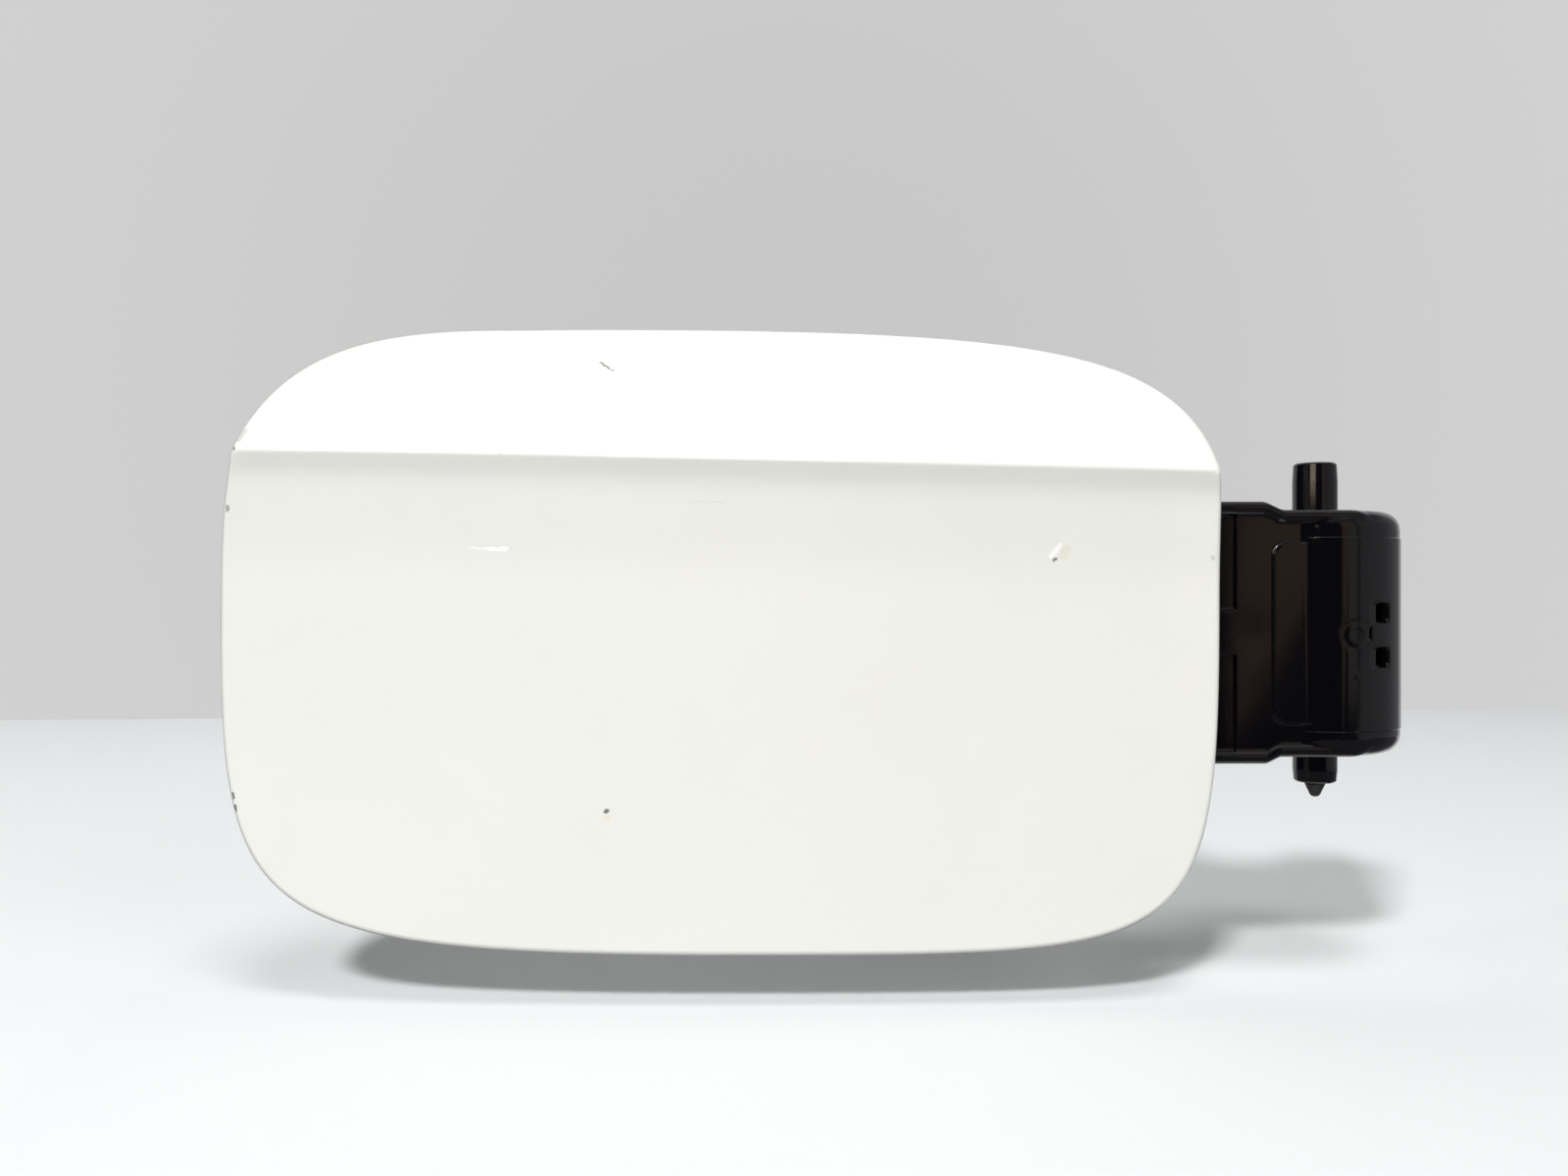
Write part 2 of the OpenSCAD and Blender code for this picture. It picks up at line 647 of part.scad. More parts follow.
// A bent bracket: its base lies on the latch side's seat, and its ear stands back with the eye
catch_x = latch_seat_x - latch_seat_w / 2 + 1;
eye_y = latch_seat_y + catch_reach;
module latch_catch() {
    ear_r = catch_w / 2;
    base_right = latch_seat_x + latch_seat_w / 2 - 1;
    bend_r = 2;
    bend_at = [catch_x, latch_seat_y] + (bend_r + catch_t) * [1, 1];
    color(bright_zinc) difference() {
        union() {
            translate([0, 0, latch_seat_z - catch_w / 2]) linear_extrude(catch_w) polygon(concat(
                arc(bend_at, bend_r + catch_t, 180, 270, 6),
                [[base_right, latch_seat_y], [base_right, latch_seat_y + catch_t]],
                arc(bend_at, bend_r, 270, 180, 6),
                [[catch_x + catch_t, eye_y], [catch_x, eye_y]]));
            translate([catch_x, eye_y, latch_seat_z]) rotate([0, 90, 0]) cylinder(r = ear_r, h = catch_t);
        }
        translate([catch_x - past, eye_y, latch_seat_z]) rotate([0, 90, 0])
            cylinder(r = eye_r, h = catch_t + 2 * past);
        for (z = rivet_places)
            bar_y(rivet_x, z, rivet_r + rivet_fit, latch_seat_y - past, latch_seat_y + catch_t + past);
    }
}

module catch_rivet(z) {
    front = latch_seat_y - panel_t;
    rear = latch_seat_y + catch_t;
    front_r = 1.6 * rivet_r;
    rear_r = 1.9 * rivet_r;
    color(bright_zinc) turned_along_y(rivet_x, z) polygon([
        [0, front - 1], [front_r, front - 0.7], [front_r, front], [rivet_r, front], [rivet_r, rear],
        [rear_r, rear], [rear_r, rear + 0.3], [1.5 * rivet_r, rear + 1], [0.8 * rivet_r, rear + 1.4],
        [0, rear + 1.5]]);
}

// The pivot turns in the drum's walls on journals, each a small shoulder larger than its free end
journal_step = 0.25;
shoulder_in = 0.1;
high_journal_r = upper_r + journal_step;
low_journal_r = lower_r + journal_step;

// Heights of the thrust washers and the rings inside the drum
low_washer_z = arm_wall + end_play;
low_ring_z = low_washer_z + washer_t + end_play;
high_washer_z = drum_h - arm_wall - end_play - washer_t;
high_ring_z = high_washer_z - end_play - ring_t;
groove_r = middle_r - 0.25;
groove_gap = 0.05;

// The two coils' ends on the shaft
coil_z = low_ring_z + ring_t + 5;
leg_z = [coil_z, drum_h - coil_z];
coil_start_turn = window_turn - 360 * coil_turns;

module hinge_shaft() {
    top = drum_h + upper_l;
    collar = 1.2;
    tip_taper = 0.2;
    edge = 0.35;
    leg_hole_r = wire_r + 0.1;
    high_groove_top = high_ring_z + ring_t + groove_gap;
    color(black_plastic) difference() {
        rotate_extrude() polygon([[0, -lower_l], [lower_r - tip_taper - edge, -lower_l],
            [lower_r - tip_taper, edge - lower_l], [lower_r, lower_taper_l - lower_l],
            [lower_r, shoulder_in], [low_journal_r, shoulder_in],
            [low_journal_r, low_ring_z - groove_gap], [groove_r, low_ring_z - groove_gap],
            [groove_r, low_ring_z + ring_t + groove_gap], [low_journal_r, low_ring_z + ring_t + groove_gap],
            [low_journal_r, low_ring_z + ring_t + collar], [middle_r, low_ring_z + ring_t + collar + 0.5],
            [middle_r, high_ring_z - collar - 0.5], [high_journal_r, high_ring_z - collar],
            [high_journal_r, high_ring_z - groove_gap], [groove_r, high_ring_z - groove_gap],
            [groove_r, high_groove_top], [high_journal_r, high_groove_top],
            [high_journal_r, drum_h - shoulder_in], [upper_r, drum_h - shoulder_in],
            [upper_r, top - upper_taper_l], [upper_r - tip_taper, top - edge],
            [upper_r - tip_taper - edge, top], [0, top]]);
        translate([0, 0, -lower_l - past]) cylinder(r = nub_r + plunger_fit, h = lip_t + 2 * past);
        translate([0, 0, lip_t - lower_l]) cylinder(r = collar_r + plunger_fit, h = plunger_bore_l);
        for (z = leg_z) rotate([0, 0, coil_start_turn]) translate([0, bite, z]) rotate([90, 0, 0])
            cylinder(r = leg_hole_r, h = high_journal_r + past);
    }
}

module thrust_washer(z, journal_r) {
    color(white_paint) translate([0, 0, z]) difference() {
        cylinder(r = middle_r + 4.5, h = washer_t);
        translate([0, 0, -past]) cylinder(r = journal_r + pivot_fit, h = washer_t + 2 * past);
    }
}

// An open ring that is pushed onto its groove from the drum's open back
module retaining_ring(z) {
    ring_r = middle_r + 3.2;
    mouth = 2 * groove_r - 0.8;
    color(spring_steel) translate([0, 0, z]) difference() {
        cylinder(r = ring_r, h = ring_t);
        translate([0, 0, -past]) cylinder(r = groove_r + groove_gap, h = ring_t + 2 * past);
        translate([-mouth / 2, 0, -past]) cube([mouth, ring_r + past, ring_t + 2 * past]);
        for (side = [-1, 1]) rotate([0, 0, 58 * side]) translate([0, -groove_r - 0.8, -past])
            cylinder(r = 1.5, h = ring_t + 2 * past);
    }
}

// A wire along a line of points: rings of corners whose direction is carried from point to point
function unit(v) = v / norm(v);
function heading(line, i) = unit(line[min(i + 1, len(line) - 1)] - line[max(i - 1, 0)]);
function square_to(v, along) = unit(v - (v * along) * along);
function wire_sides(line, first) =
    [for (i = 0, side = square_to(first, heading(line, 0)); i < len(line);
        i = i + 1, side = square_to(side, heading(line, min(i, len(line) - 1)))) side];

module wire(line, r, sides, first) {
    across = wire_sides(line, first);
    n = len(line);
    corners = [for (i = [0:n - 1]) let(up = cross(heading(line, i), across[i]))
        for (k = [0:sides - 1]) line[i] + r * (cos(360 * k / sides) * across[i] + sin(360 * k / sides) * up)];
    walls = [for (i = [0:n - 2]) for (k = [0:sides - 1])
        let(a = i * sides + k, b = i * sides + (k + 1) % sides) [b, a, a + sides, b + sides]];
    caps = [[for (k = [0:sides - 1]) k], [for (k = [sides - 1:-1:0]) (n - 1) * sides + k]];
    polyhedron(corners, concat(walls, caps), convexity = 8);
}

// A soft corner between three points
function bend(a, b, c, steps) =
    [for (i = [0:steps]) let(t = i / steps) (1 - t) * (1 - t) * a + 2 * t * (1 - t) * b + t * t * c];

// Half of the door spring: a leg in the shaft, a coil, and the way out to the bridge
coil_top = coil_z + coil_turns * coil_pitch;
function coil_point(turn) = around(coil_r, turn, coil_z + (turn - coil_start_turn) / 360 * coil_pitch);
half_spring = let(first = coil_start_turn, last = window_turn, in_turn = 18, out_turn = 12) concat(
    [around(0.4 * middle_r, first, coil_z)],
    bend(around(coil_r - 2, first, coil_z), around(coil_r, first, coil_z), coil_point(first + in_turn), 4),
    [for (turn = [first + 2 * in_turn:22.5:last - 2 * out_turn]) coil_point(turn)],
    bend(coil_point(last - out_turn), around(coil_r, last, coil_top),
        around(coil_r + 1.8, last, coil_top), 4),
    bend(around(bridge_r - 1.6, last, coil_top), around(bridge_r, last, coil_top),
        around(bridge_r, last, coil_top + 1.6), 4));

module hinge_spring() {
    last = len(half_spring) - 1;
    other = [for (i = [last:-1:0]) [half_spring[i].x, half_spring[i].y, drum_h - half_spring[i].z]];
    color(spring_steel) wire(concat(half_spring, other), wire_r, 8, [0, 0, 1]);
}

// The plunger, from its collar above the lip to the round tip of its nub
lip_t = 0.9;
collar_z = lip_t - lower_l + 0.02;
collar_h = 1.5;
peg_h = 1.8;
module lock_plunger() {
    tip_z = -lower_l - nub_l;
    tip_r = 1.3;
    collar_top = collar_z + collar_h;
    peg_r = 1.2;
    color(black_plastic) rotate_extrude() polygon(concat(
        [[0, tip_z]], arc([0, tip_z + tip_r], tip_r, 285, 345, 5),
        [[nub_r, -lower_l - 0.6], [nub_r, collar_z], [collar_r, collar_z], [collar_r, collar_top],
            [peg_r, collar_top], [peg_r, collar_top + peg_h], [0, collar_top + peg_h]]));
}

module plunger_spring() {
    low = collar_z + collar_h + small_wire_r + 0.02;
    high = lip_t - lower_l + plunger_bore_l - small_wire_r - 0.02;
    mean_r = collar_r - small_wire_r - 0.15;
    turns = 7;
    steps = 12;
    last = turns * steps;
    line = [for (i = [0:last]) around(mean_r, 360 * i / steps, low + (high - low) * i / last)];
    color(spring_steel) wire(line, small_wire_r, 6, [0, 0, 1]);
}

outer_skin();
inner_panel();
mastic_pad(mastic_places[0]);  // mastic_pad_upper
mastic_pad(mastic_places[1]);  // mastic_pad_lower
hinge_arm();
arm_screw(screw_places[0]);  // arm_screw_1
arm_screw(screw_places[1]);  // arm_screw_2
arm_screw(screw_places[2]);  // arm_screw_3
weld_nut(screw_places[0]);  // weld_nut_1
weld_nut(screw_places[1]);  // weld_nut_2
weld_nut(screw_places[2]);  // weld_nut_3
bump_stop(stop_places[0]);  // bump_stop_upper
bump_stop(stop_places[1]);  // bump_stop_lower
latch_catch();
catch_rivet(rivet_places[0]);  // catch_rivet_upper
catch_rivet(rivet_places[1]);  // catch_rivet_lower
hinge_shaft();
thrust_washer(high_washer_z, high_journal_r);  // thrust_washer_upper
thrust_washer(low_washer_z, low_journal_r);  // thrust_washer_lower
retaining_ring(high_ring_z);  // retaining_ring_upper
retaining_ring(low_ring_z);  // retaining_ring_lower
hinge_spring();
lock_plunger();
plunger_spring();
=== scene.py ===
"""Car fuel door: the painted panel, its moulded hinge arm and the pivot, seen from the front."""
import json
import math

import bmesh
import bpy
import numpy as np
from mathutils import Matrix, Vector
from mathutils.geometry import delaunay_2d_cdt


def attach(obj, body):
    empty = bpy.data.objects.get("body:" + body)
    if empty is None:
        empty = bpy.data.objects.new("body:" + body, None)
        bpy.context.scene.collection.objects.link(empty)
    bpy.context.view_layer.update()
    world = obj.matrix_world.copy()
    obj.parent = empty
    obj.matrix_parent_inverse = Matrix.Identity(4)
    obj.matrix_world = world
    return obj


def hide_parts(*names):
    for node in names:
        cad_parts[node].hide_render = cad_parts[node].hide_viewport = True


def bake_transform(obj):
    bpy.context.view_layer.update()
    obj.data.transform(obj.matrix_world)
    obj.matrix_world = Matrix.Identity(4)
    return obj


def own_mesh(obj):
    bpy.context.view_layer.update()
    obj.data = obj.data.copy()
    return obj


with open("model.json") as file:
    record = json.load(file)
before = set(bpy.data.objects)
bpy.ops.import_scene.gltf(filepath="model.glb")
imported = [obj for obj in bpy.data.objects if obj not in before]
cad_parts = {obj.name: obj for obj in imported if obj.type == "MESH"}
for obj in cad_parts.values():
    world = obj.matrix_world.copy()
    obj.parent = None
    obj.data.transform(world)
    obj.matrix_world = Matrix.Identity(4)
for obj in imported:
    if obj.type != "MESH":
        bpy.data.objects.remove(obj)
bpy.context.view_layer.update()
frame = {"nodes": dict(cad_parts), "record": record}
MM = 0.001

# ---------------------------------------------------------------- camera
cam_data = bpy.data.cameras.new("camera")
camera = bpy.data.objects.new("camera", cam_data)
bpy.context.scene.collection.objects.link(camera)
camera.location = (-0.115, -0.276, 0.0346)
camera.rotation_euler = (math.radians(90), 0, 0)
cam_data.lens = 29.25
cam_data.sensor_width = 36
cam_data.sensor_fit = "HORIZONTAL"
cam_data.clip_start, cam_data.clip_end = 0.01, 20
bpy.context.scene.camera = camera
bpy.context.scene.view_settings.view_transform = "Standard"

# ---------------------------------------------------------------- the door's surface, in millimetres
DOOR_W, DOOR_H, DOOR_DROP, EDGE_GAP = 198.6, 124.6, 36.5, 28.3
LEFT, TOP = -EDGE_GAP - DOOR_W, DOOR_H - DOOR_DROP
MID_X = -EDGE_GAP - DOOR_W / 2
CROWN_R, FACE_DEPTH, CREASE_Z = 1450.0, 27.0, 59.8
CREASE_FALL = math.radians(1.2)
LEAN_LOW, LEAN_HIGH, UNDERCUT = math.radians(25), math.radians(35), math.radians(15)
HOLLOW_R, BELLY_R = 65.0, 800.0
CREASE_OUT = HOLLOW_R * (1 - math.cos(UNDERCUT))
HOLLOW_DROP = HOLLOW_R * math.sin(UNDERCUT)
TOP_R = (TOP - CREASE_Z) / (math.sin(LEAN_HIGH) - math.sin(LEAN_LOW))
CREASE_SOFT = 0.55      # how far the crease's rounding reaches on each side
HOLLOW_END = 30.0       # how far below the crease the hollow has run out
HOLLOW_STEPS, LEAN_BLUR = 1200, 40      # steps of its table, and how many to each side its lean is evened over


def hollow_table():
    """Depth of the hollow under the crease: a short leaning band, a quick bend, and a long faint slope.

    The slope's lean is searched for, so that the hollow ends at the depth where the belly goes on.
    """
    t = np.linspace(0, HOLLOW_END, HOLLOW_STEPS + 1)
    undercut = math.degrees(UNDERCUT)
    belly_lean = -math.degrees(math.asin((HOLLOW_END - HOLLOW_DROP) / BELLY_R))
    end = -(BELLY_R - math.sqrt(BELLY_R**2 - (HOLLOW_END - HOLLOW_DROP)**2))
    window = 2 * LEAN_BLUR + 1
    low, high = 0.0, 10.0
    for _ in range(40):
        slope = (low + high) / 2
        lean = np.interp(t, (0, 2.8, 4.6, 6.4, 16.5, 20.5, 24, HOLLOW_END),
                         (undercut, undercut, 9.0, slope + 0.5, slope - 0.4, 1.4, -0.3, belly_lean))
        lean = np.convolve(np.pad(lean, LEAN_BLUR, mode="edge"), np.ones(window) / window, mode="valid")
        drop = np.tan(np.radians((lean[1:] + lean[:-1]) / 2)) * np.diff(t)
        depth = -CREASE_OUT + np.concatenate([[0], np.cumsum(drop)])
        low, high = (slope, high) if depth[-1] < end else (low, slope)
    return t, depth


HOLLOW = hollow_table()


def depth_behind(w):
    """How far the face lies behind the hollow's deepest line, at height w above the crease."""
    w = np.asarray(w, float)
    upper = -CREASE_OUT + TOP_R * math.cos(LEAN_LOW) - np.sqrt(TOP_R**2 - (w + TOP_R * math.sin(LEAN_LOW))**2)
    below = np.minimum(w, 0) + HOLLOW_DROP
    hollow = np.interp(-w, *HOLLOW)
    belly = -(BELLY_R - np.sqrt(BELLY_R**2 - np.clip(below, None, 0)**2))
    return np.where(w > 0, upper, np.where(w > -HOLLOW_END, hollow, belly))


def soft_depth(w):
    """The same with the crease rounded: near it, an average over a short stretch of height."""
    w = np.asarray(w, float)
    total = np.zeros_like(w)
    shares = np.linspace(-1, 1, 9)
    weights = 1 - np.abs(shares) * 0.9
    for s, k in zip(shares, weights):
        total += k * depth_behind(w + s * CREASE_SOFT)
    near = np.clip(1.5 - np.abs(w) / (2 * CREASE_SOFT), 0, 1)
    near = near * near * (3 - 2 * near)
    return near * total / weights.sum() + (1 - near) * depth_behind(w)


def face_y(x, z, depth=0.0):
    """The y of the painted face at x and z, or of a sheet that lies a depth behind it."""
    x, z = np.asarray(x, float) - MID_X, np.asarray(z, float) - CREASE_Z
    u = x * math.cos(CREASE_FALL) - z * math.sin(CREASE_FALL)
    w = x * math.sin(CREASE_FALL) + z * math.cos(CREASE_FALL)
    radius = CROWN_R - soft_depth(w) - depth
    return CROWN_R - FACE_DEPTH - np.sqrt(radius**2 - u**2)


def quarter(a, d, flat, reach, steps):
    """One quarter of the outline: a cubic curve from a to d."""
    a, d = np.array(a, float), np.array(d, float)
    if flat:
        b, c = (a[0] + reach[0] * (d[0] - a[0]), a[1]), (d[0], d[1] - reach[1] * (d[1] - a[1]))
    else:
        b, c = (a[0], a[1] + reach[0] * (d[1] - a[1])), (d[0] - reach[1] * (d[0] - a[0]), d[1])
    t = np.linspace(0, 1, steps, endpoint=False)[:, None]
    return (1 - t)**3 * a + 3 * (1 - t)**2 * t * np.array(b) + 3 * (1 - t) * t * t * np.array(c) + t**3 * d


def door_outline(count):
    """Points along the door's edge at even distances, clockwise as seen from the front."""
    peak, side = (LEFT + 0.263 * DOOR_W, TOP), (-EDGE_GAP, 0.695 * DOOR_H - DOOR_DROP)
    base, latch = (LEFT + 0.622 * DOOR_W, -DOOR_DROP), (LEFT, 0.572 * DOOR_H - DOOR_DROP)
    fine = np.concatenate([
        quarter(peak, side, True, (0.75, 1), 400), quarter(side, base, False, (0.97, 1), 400),
        quarter(base, latch, True, (0.95, 1), 400), quarter(latch, peak, False, (0.8, 0.73), 400)])
    closed = np.vstack([fine, fine[:1]])
    run = np.concatenate([[0], np.cumsum(np.linalg.norm(np.diff(closed, axis=0), axis=1))])
    at = np.linspace(0, run[-1], count, endpoint=False)
    return np.stack([np.interp(at, run, closed[:, k]) for k in (0, 1)], 1)


def outward(points):
    """Unit vectors across a clockwise loop, pointing out of it."""
    along = np.roll(points, -1, 0) - np.roll(points, 1, 0)
    along /= np.linalg.norm(along, axis=1)[:, None]
    return np.stack([-along[:, 1], along[:, 0]], 1)


# ---------------------------------------------------------------- meshes
class Shell:
    """Collects points in millimetres and faces, and makes one closed mesh of them."""

    def __init__(self):
        self.points, self.faces, self.count = [], [], 0

    def add(self, points):
        """Adds points and gives their numbers."""
        points = np.asarray(points, float).reshape(-1, 3)
        self.points.append(points)
        self.count += len(points)
        return np.arange(self.count - len(points), self.count)

    def strip(self, first, second):
        """Quads between two closed rows of the same length."""
        n = len(first)
        for i in range(n):
            j = (i + 1) % n
            self.faces.append((first[i], first[j], second[j], second[i]))

    def tube(self, rows):
        """Quads between each row and the next."""
        for a, b in zip(rows, rows[1:]):
            self.strip(a, b)

    def object(self, name, material, body):
        """The shown piece, smooth, on its CAD body and with its material slot."""
        mesh = bpy.data.meshes.new(name)
        mesh.from_pydata((np.vstack(self.points) * MM).tolist(), [], [list(map(int, f)) for f in self.faces])
        bm = bmesh.new()
        bm.from_mesh(mesh)
        bmesh.ops.remove_doubles(bm, verts=bm.verts, dist=1e-6)
        bmesh.ops.recalc_face_normals(bm, faces=bm.faces)
        bm.to_mesh(mesh)
        bm.free()
        mesh.polygons.foreach_set("use_smooth", [True] * len(mesh.polygons))
        mesh.materials.append(material)
        obj = bpy.data.objects.new(name, mesh)
        bpy.context.scene.collection.objects.link(obj)
        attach(obj, body)
        return obj


def triangulate(loops, inner, holes=()):
    """Triangles between the first loop and the others, through the inner points, in the plane of X and Z."""
    verts, edges = [], []
    for loop in loops:
        start = len(verts)
        verts += [Vector(p) for p in loop]
        edges += [(start + i, start + (i + 1) % len(loop)) for i in range(len(loop))]
    verts += [Vector(p) for p in inner]
    out_v, _, out_f, _, _, _ = delaunay_2d_cdt(verts, edges, [], 1, 1e-5)
    pts = np.array([(v.x, v.y) for v in out_v])
    tris = np.array([f for f in out_f if len(f) == 3])
    keep = np.ones(len(tris), bool)
    mid = pts[tris].mean(1)
    for inside in holes:
        keep &= ~inside(mid)
    return pts, tris[keep]


def inside_loop(points, loop):
    """Which points lie inside a closed loop."""
    x, z = points[:, 0], points[:, 1]
    found = np.zeros(len(points), bool)
    a, b = loop, np.roll(loop, -1, 0)
    for (x0, z0), (x1, z1) in zip(a, b):
        cross = (z0 > z) != (z1 > z)
        if z1 != z0:
            found ^= cross & (x < (x1 - x0) * (z - z0) / (z1 - z0) + x0)
    return found


def loop_distance(points, loop):
    """Distance of points from the nearest of a loop's points."""
    best = np.full(len(points), 1e9)
    for start in range(0, len(loop), 64):
        part = loop[start:start + 64]
        d = np.hypot(points[:, None, 0] - part[None, :, 0], points[:, None, 1] - part[None, :, 1]).min(1)
        best = np.minimum(best, d)
    return best


def crease_grid(step):
    """Grid points over the door in rows along the crease, which lie closer beside it."""
    near = [0.0, 0.14, 0.3, 0.5, 0.75, 1.1, 1.6, 2.3, 3.2, 4.3]
    far = near[-1] + step
    rows = sorted({-w for w in near} | set(near) | set(np.arange(far, 60, step)) | set(-np.arange(far, 120, step)))
    grid = []
    for k, w in enumerate(rows):
        u = np.arange(-110, 110, step) + (k % 2) * step / 2
        grid.append(np.stack([MID_X + u * math.cos(CREASE_FALL) + w * math.sin(CREASE_FALL),
                              CREASE_Z - u * math.sin(CREASE_FALL) + w * math.cos(CREASE_FALL)], 1))
    return np.vstack(grid)


EDGE = door_outline(560)
EDGE_OUT = outward(EDGE)
HEM_T, SKIN_T, HEM_W = 2.5, 0.8, 8.0
# Depths behind the face: the front of the hem's folded-back flange, and the rear of the inner panel's rim before it
RETURN_FRONT, FLANGE_REAR = 1.7, 1.65
FOLD_INSET = 0.85       # how far from the edge the fold's hollow begins


def on_face(points, depth):
    """3D points on the sheet that lies a depth behind the face."""
    return np.stack([points[:, 0], face_y(points[:, 0], points[:, 1], depth), points[:, 1]], 1)


def hem_row(inset, depth):
    """A row of points along the edge, an inset from it and a depth behind the face."""
    return on_face(EDGE - inset * EDGE_OUT, depth)


def make_skin(material):
    """The outer sheet: painted face, round hem, return flange behind, and its inner face."""
    shell = Shell()
    r = HEM_T / 2
    front_loop = EDGE - (r + 0.02) * EDGE_OUT
    grid = crease_grid(1.7)
    grid = grid[inside_loop(grid, EDGE - (r + 0.75) * EDGE_OUT)]
    pts, tris = triangulate([front_loop], grid)
    front = shell.add(on_face(pts, 0.0))
    shell.faces += [tuple(front[t]) for t in tris]
    rows = [front[:len(EDGE)]]
    for angle in np.radians(np.linspace(0, 180, 15)):
        rows.append(shell.add(hem_row(r * (1 - math.sin(angle)), r * (1 - math.cos(angle)))))
    for inset in (2.2, 3.4, 4.6, 5.8, 6.8, 7.5):
        rows.append(shell.add(hem_row(inset, HEM_T)))
    for inset, depth in ((HEM_W - 0.2, 2.42), (HEM_W - 0.06, 2.25), (HEM_W, 2.0), (HEM_W, RETURN_FRONT),
                         (4.0, RETURN_FRONT), (FOLD_INSET, RETURN_FRONT), (FOLD_INSET, SKIN_T)):
        rows.append(shell.add(hem_row(inset, depth)))
    shell.tube(rows)
    back_loop = EDGE - FOLD_INSET * EDGE_OUT
    coarse = crease_grid(3.5)
    coarse = coarse[inside_loop(coarse, EDGE - 2.6 * EDGE_OUT)]
    pts, tris = triangulate([back_loop], coarse)
    back = shell.add(on_face(pts, SKIN_T))
    shell.faces += [tuple(back[t]) for t in tris]
    return shell.object("door_skin", material, "door")


# ---------------------------------------------------------------- the inner panel
DRUM_H, FOOT_EXTRA, FOOT_LEFT = 50.6, 1.4, -97.0
SEAT_Y = -13.8
DISH_INSET, DISH_DRAFT, DISH_LEVEL, DISH_REAR = 10.5, 0.25, 35.0, 7.85
DISH_EDGE = DISH_INSET + DISH_DRAFT * (DISH_LEVEL - 14.8)
FOOT_SEAT_RIGHT = -EDGE_GAP - DISH_EDGE - 3
FOOT_SEAT_W = FOOT_SEAT_RIGHT - FOOT_LEFT + 1
MID_Z = DRUM_H / 2
LATCH_Y, LATCH_W = SEAT_Y - 1.7, 25.0
LATCH_X, LATCH_Z = LEFT + DISH_EDGE + 2 + LATCH_W / 2, MID_Z + 1.5
DOOR_MID_Z = TOP - DOOR_H / 2
SEATS = [(FOOT_SEAT_RIGHT - FOOT_SEAT_W / 2, MID_Z, FOOT_SEAT_W, DRUM_H + 2 * FOOT_EXTRA - 1, SEAT_Y),
         (LATCH_X, LATCH_Z, LATCH_W, 72.0, LATCH_Y)]
PANEL_T, PANEL_INSET = 0.8, 1.0
PAINT_HOLES = [(MID_X - 30, DOOR_MID_Z + 6, 10.0), (MID_X + 8, DOOR_MID_Z - 34, 10.0)]
DRAIN_SLOTS = [(MID_X - 48, DOOR_MID_Z - 42), (MID_X + 48, DOOR_MID_Z - 42)]
DRAIN_SIZE = (14, 4)


def soft_min(a, b, k):
    """The smaller of two values, rounded where they differ by less than k."""
    h = np.clip(0.5 + 0.5 * (b - a) / k, 0, 1)
    return b + (a - b) * h - k * h * (1 - h)


def soft_max(a, b, k):
    return -soft_min(-a, -b, k)


def box_distance(points, cx, cz, w, h, r):
    """Signed distance from a rectangle with round corners."""
    qx, qz = np.abs(points[:, 0] - cx) - w / 2 + r, np.abs(points[:, 1] - cz) - h / 2 + r
    return np.hypot(np.clip(qx, 0, None), np.clip(qz, 0, None)) + np.minimum(np.maximum(qx, qz), 0) - r


def panel_rear(points):
    """The y of the inner panel's rear face: flange, dish and flat seats with pressed radii between."""
    x, z = points[:, 0], points[:, 1]
    inset = loop_distance(points, EDGE)
    flange = face_y(x, z, FLANGE_REAR)
    dish = face_y(x, z, DISH_REAR)
    wall = -DISH_LEVEL + (inset - DISH_INSET) / DISH_DRAFT
    y = soft_max(flange, soft_min(dish, wall, 2.6), 2.2)
    y = np.where(inset < 8.6, flange, y)
    for cx, cz, w, h, level in SEATS:
        side = level - 3.2 * np.clip(box_distance(points, cx, cz, w, h, 6.0), -1.2, None)
        y = soft_max(y, np.minimum(soft_min(side, np.full_like(y, level), 1.4), level), 1.3)
        inside = box_distance(points, cx, cz, w, h, 6.0) < -1.0
        y = np.where(inside, level, y)
    return y


def circle_loop(cx, cz, r, n):
    a = np.linspace(0, 2 * math.pi, n, endpoint=False)
    return np.stack([cx + r * np.sin(a), cz + r * np.cos(a)], 1)


def slot_loop(cx, cz, w, h, n):
    """A slot with round ends, longer in X."""
    a = np.linspace(0, 2 * math.pi, n, endpoint=False)
    shift = np.where(np.sin(a) > 0, 1, -1) * (w - h) / 2
    return np.stack([cx + shift + h / 2 * np.sin(a), cz + h / 2 * np.cos(a)], 1)


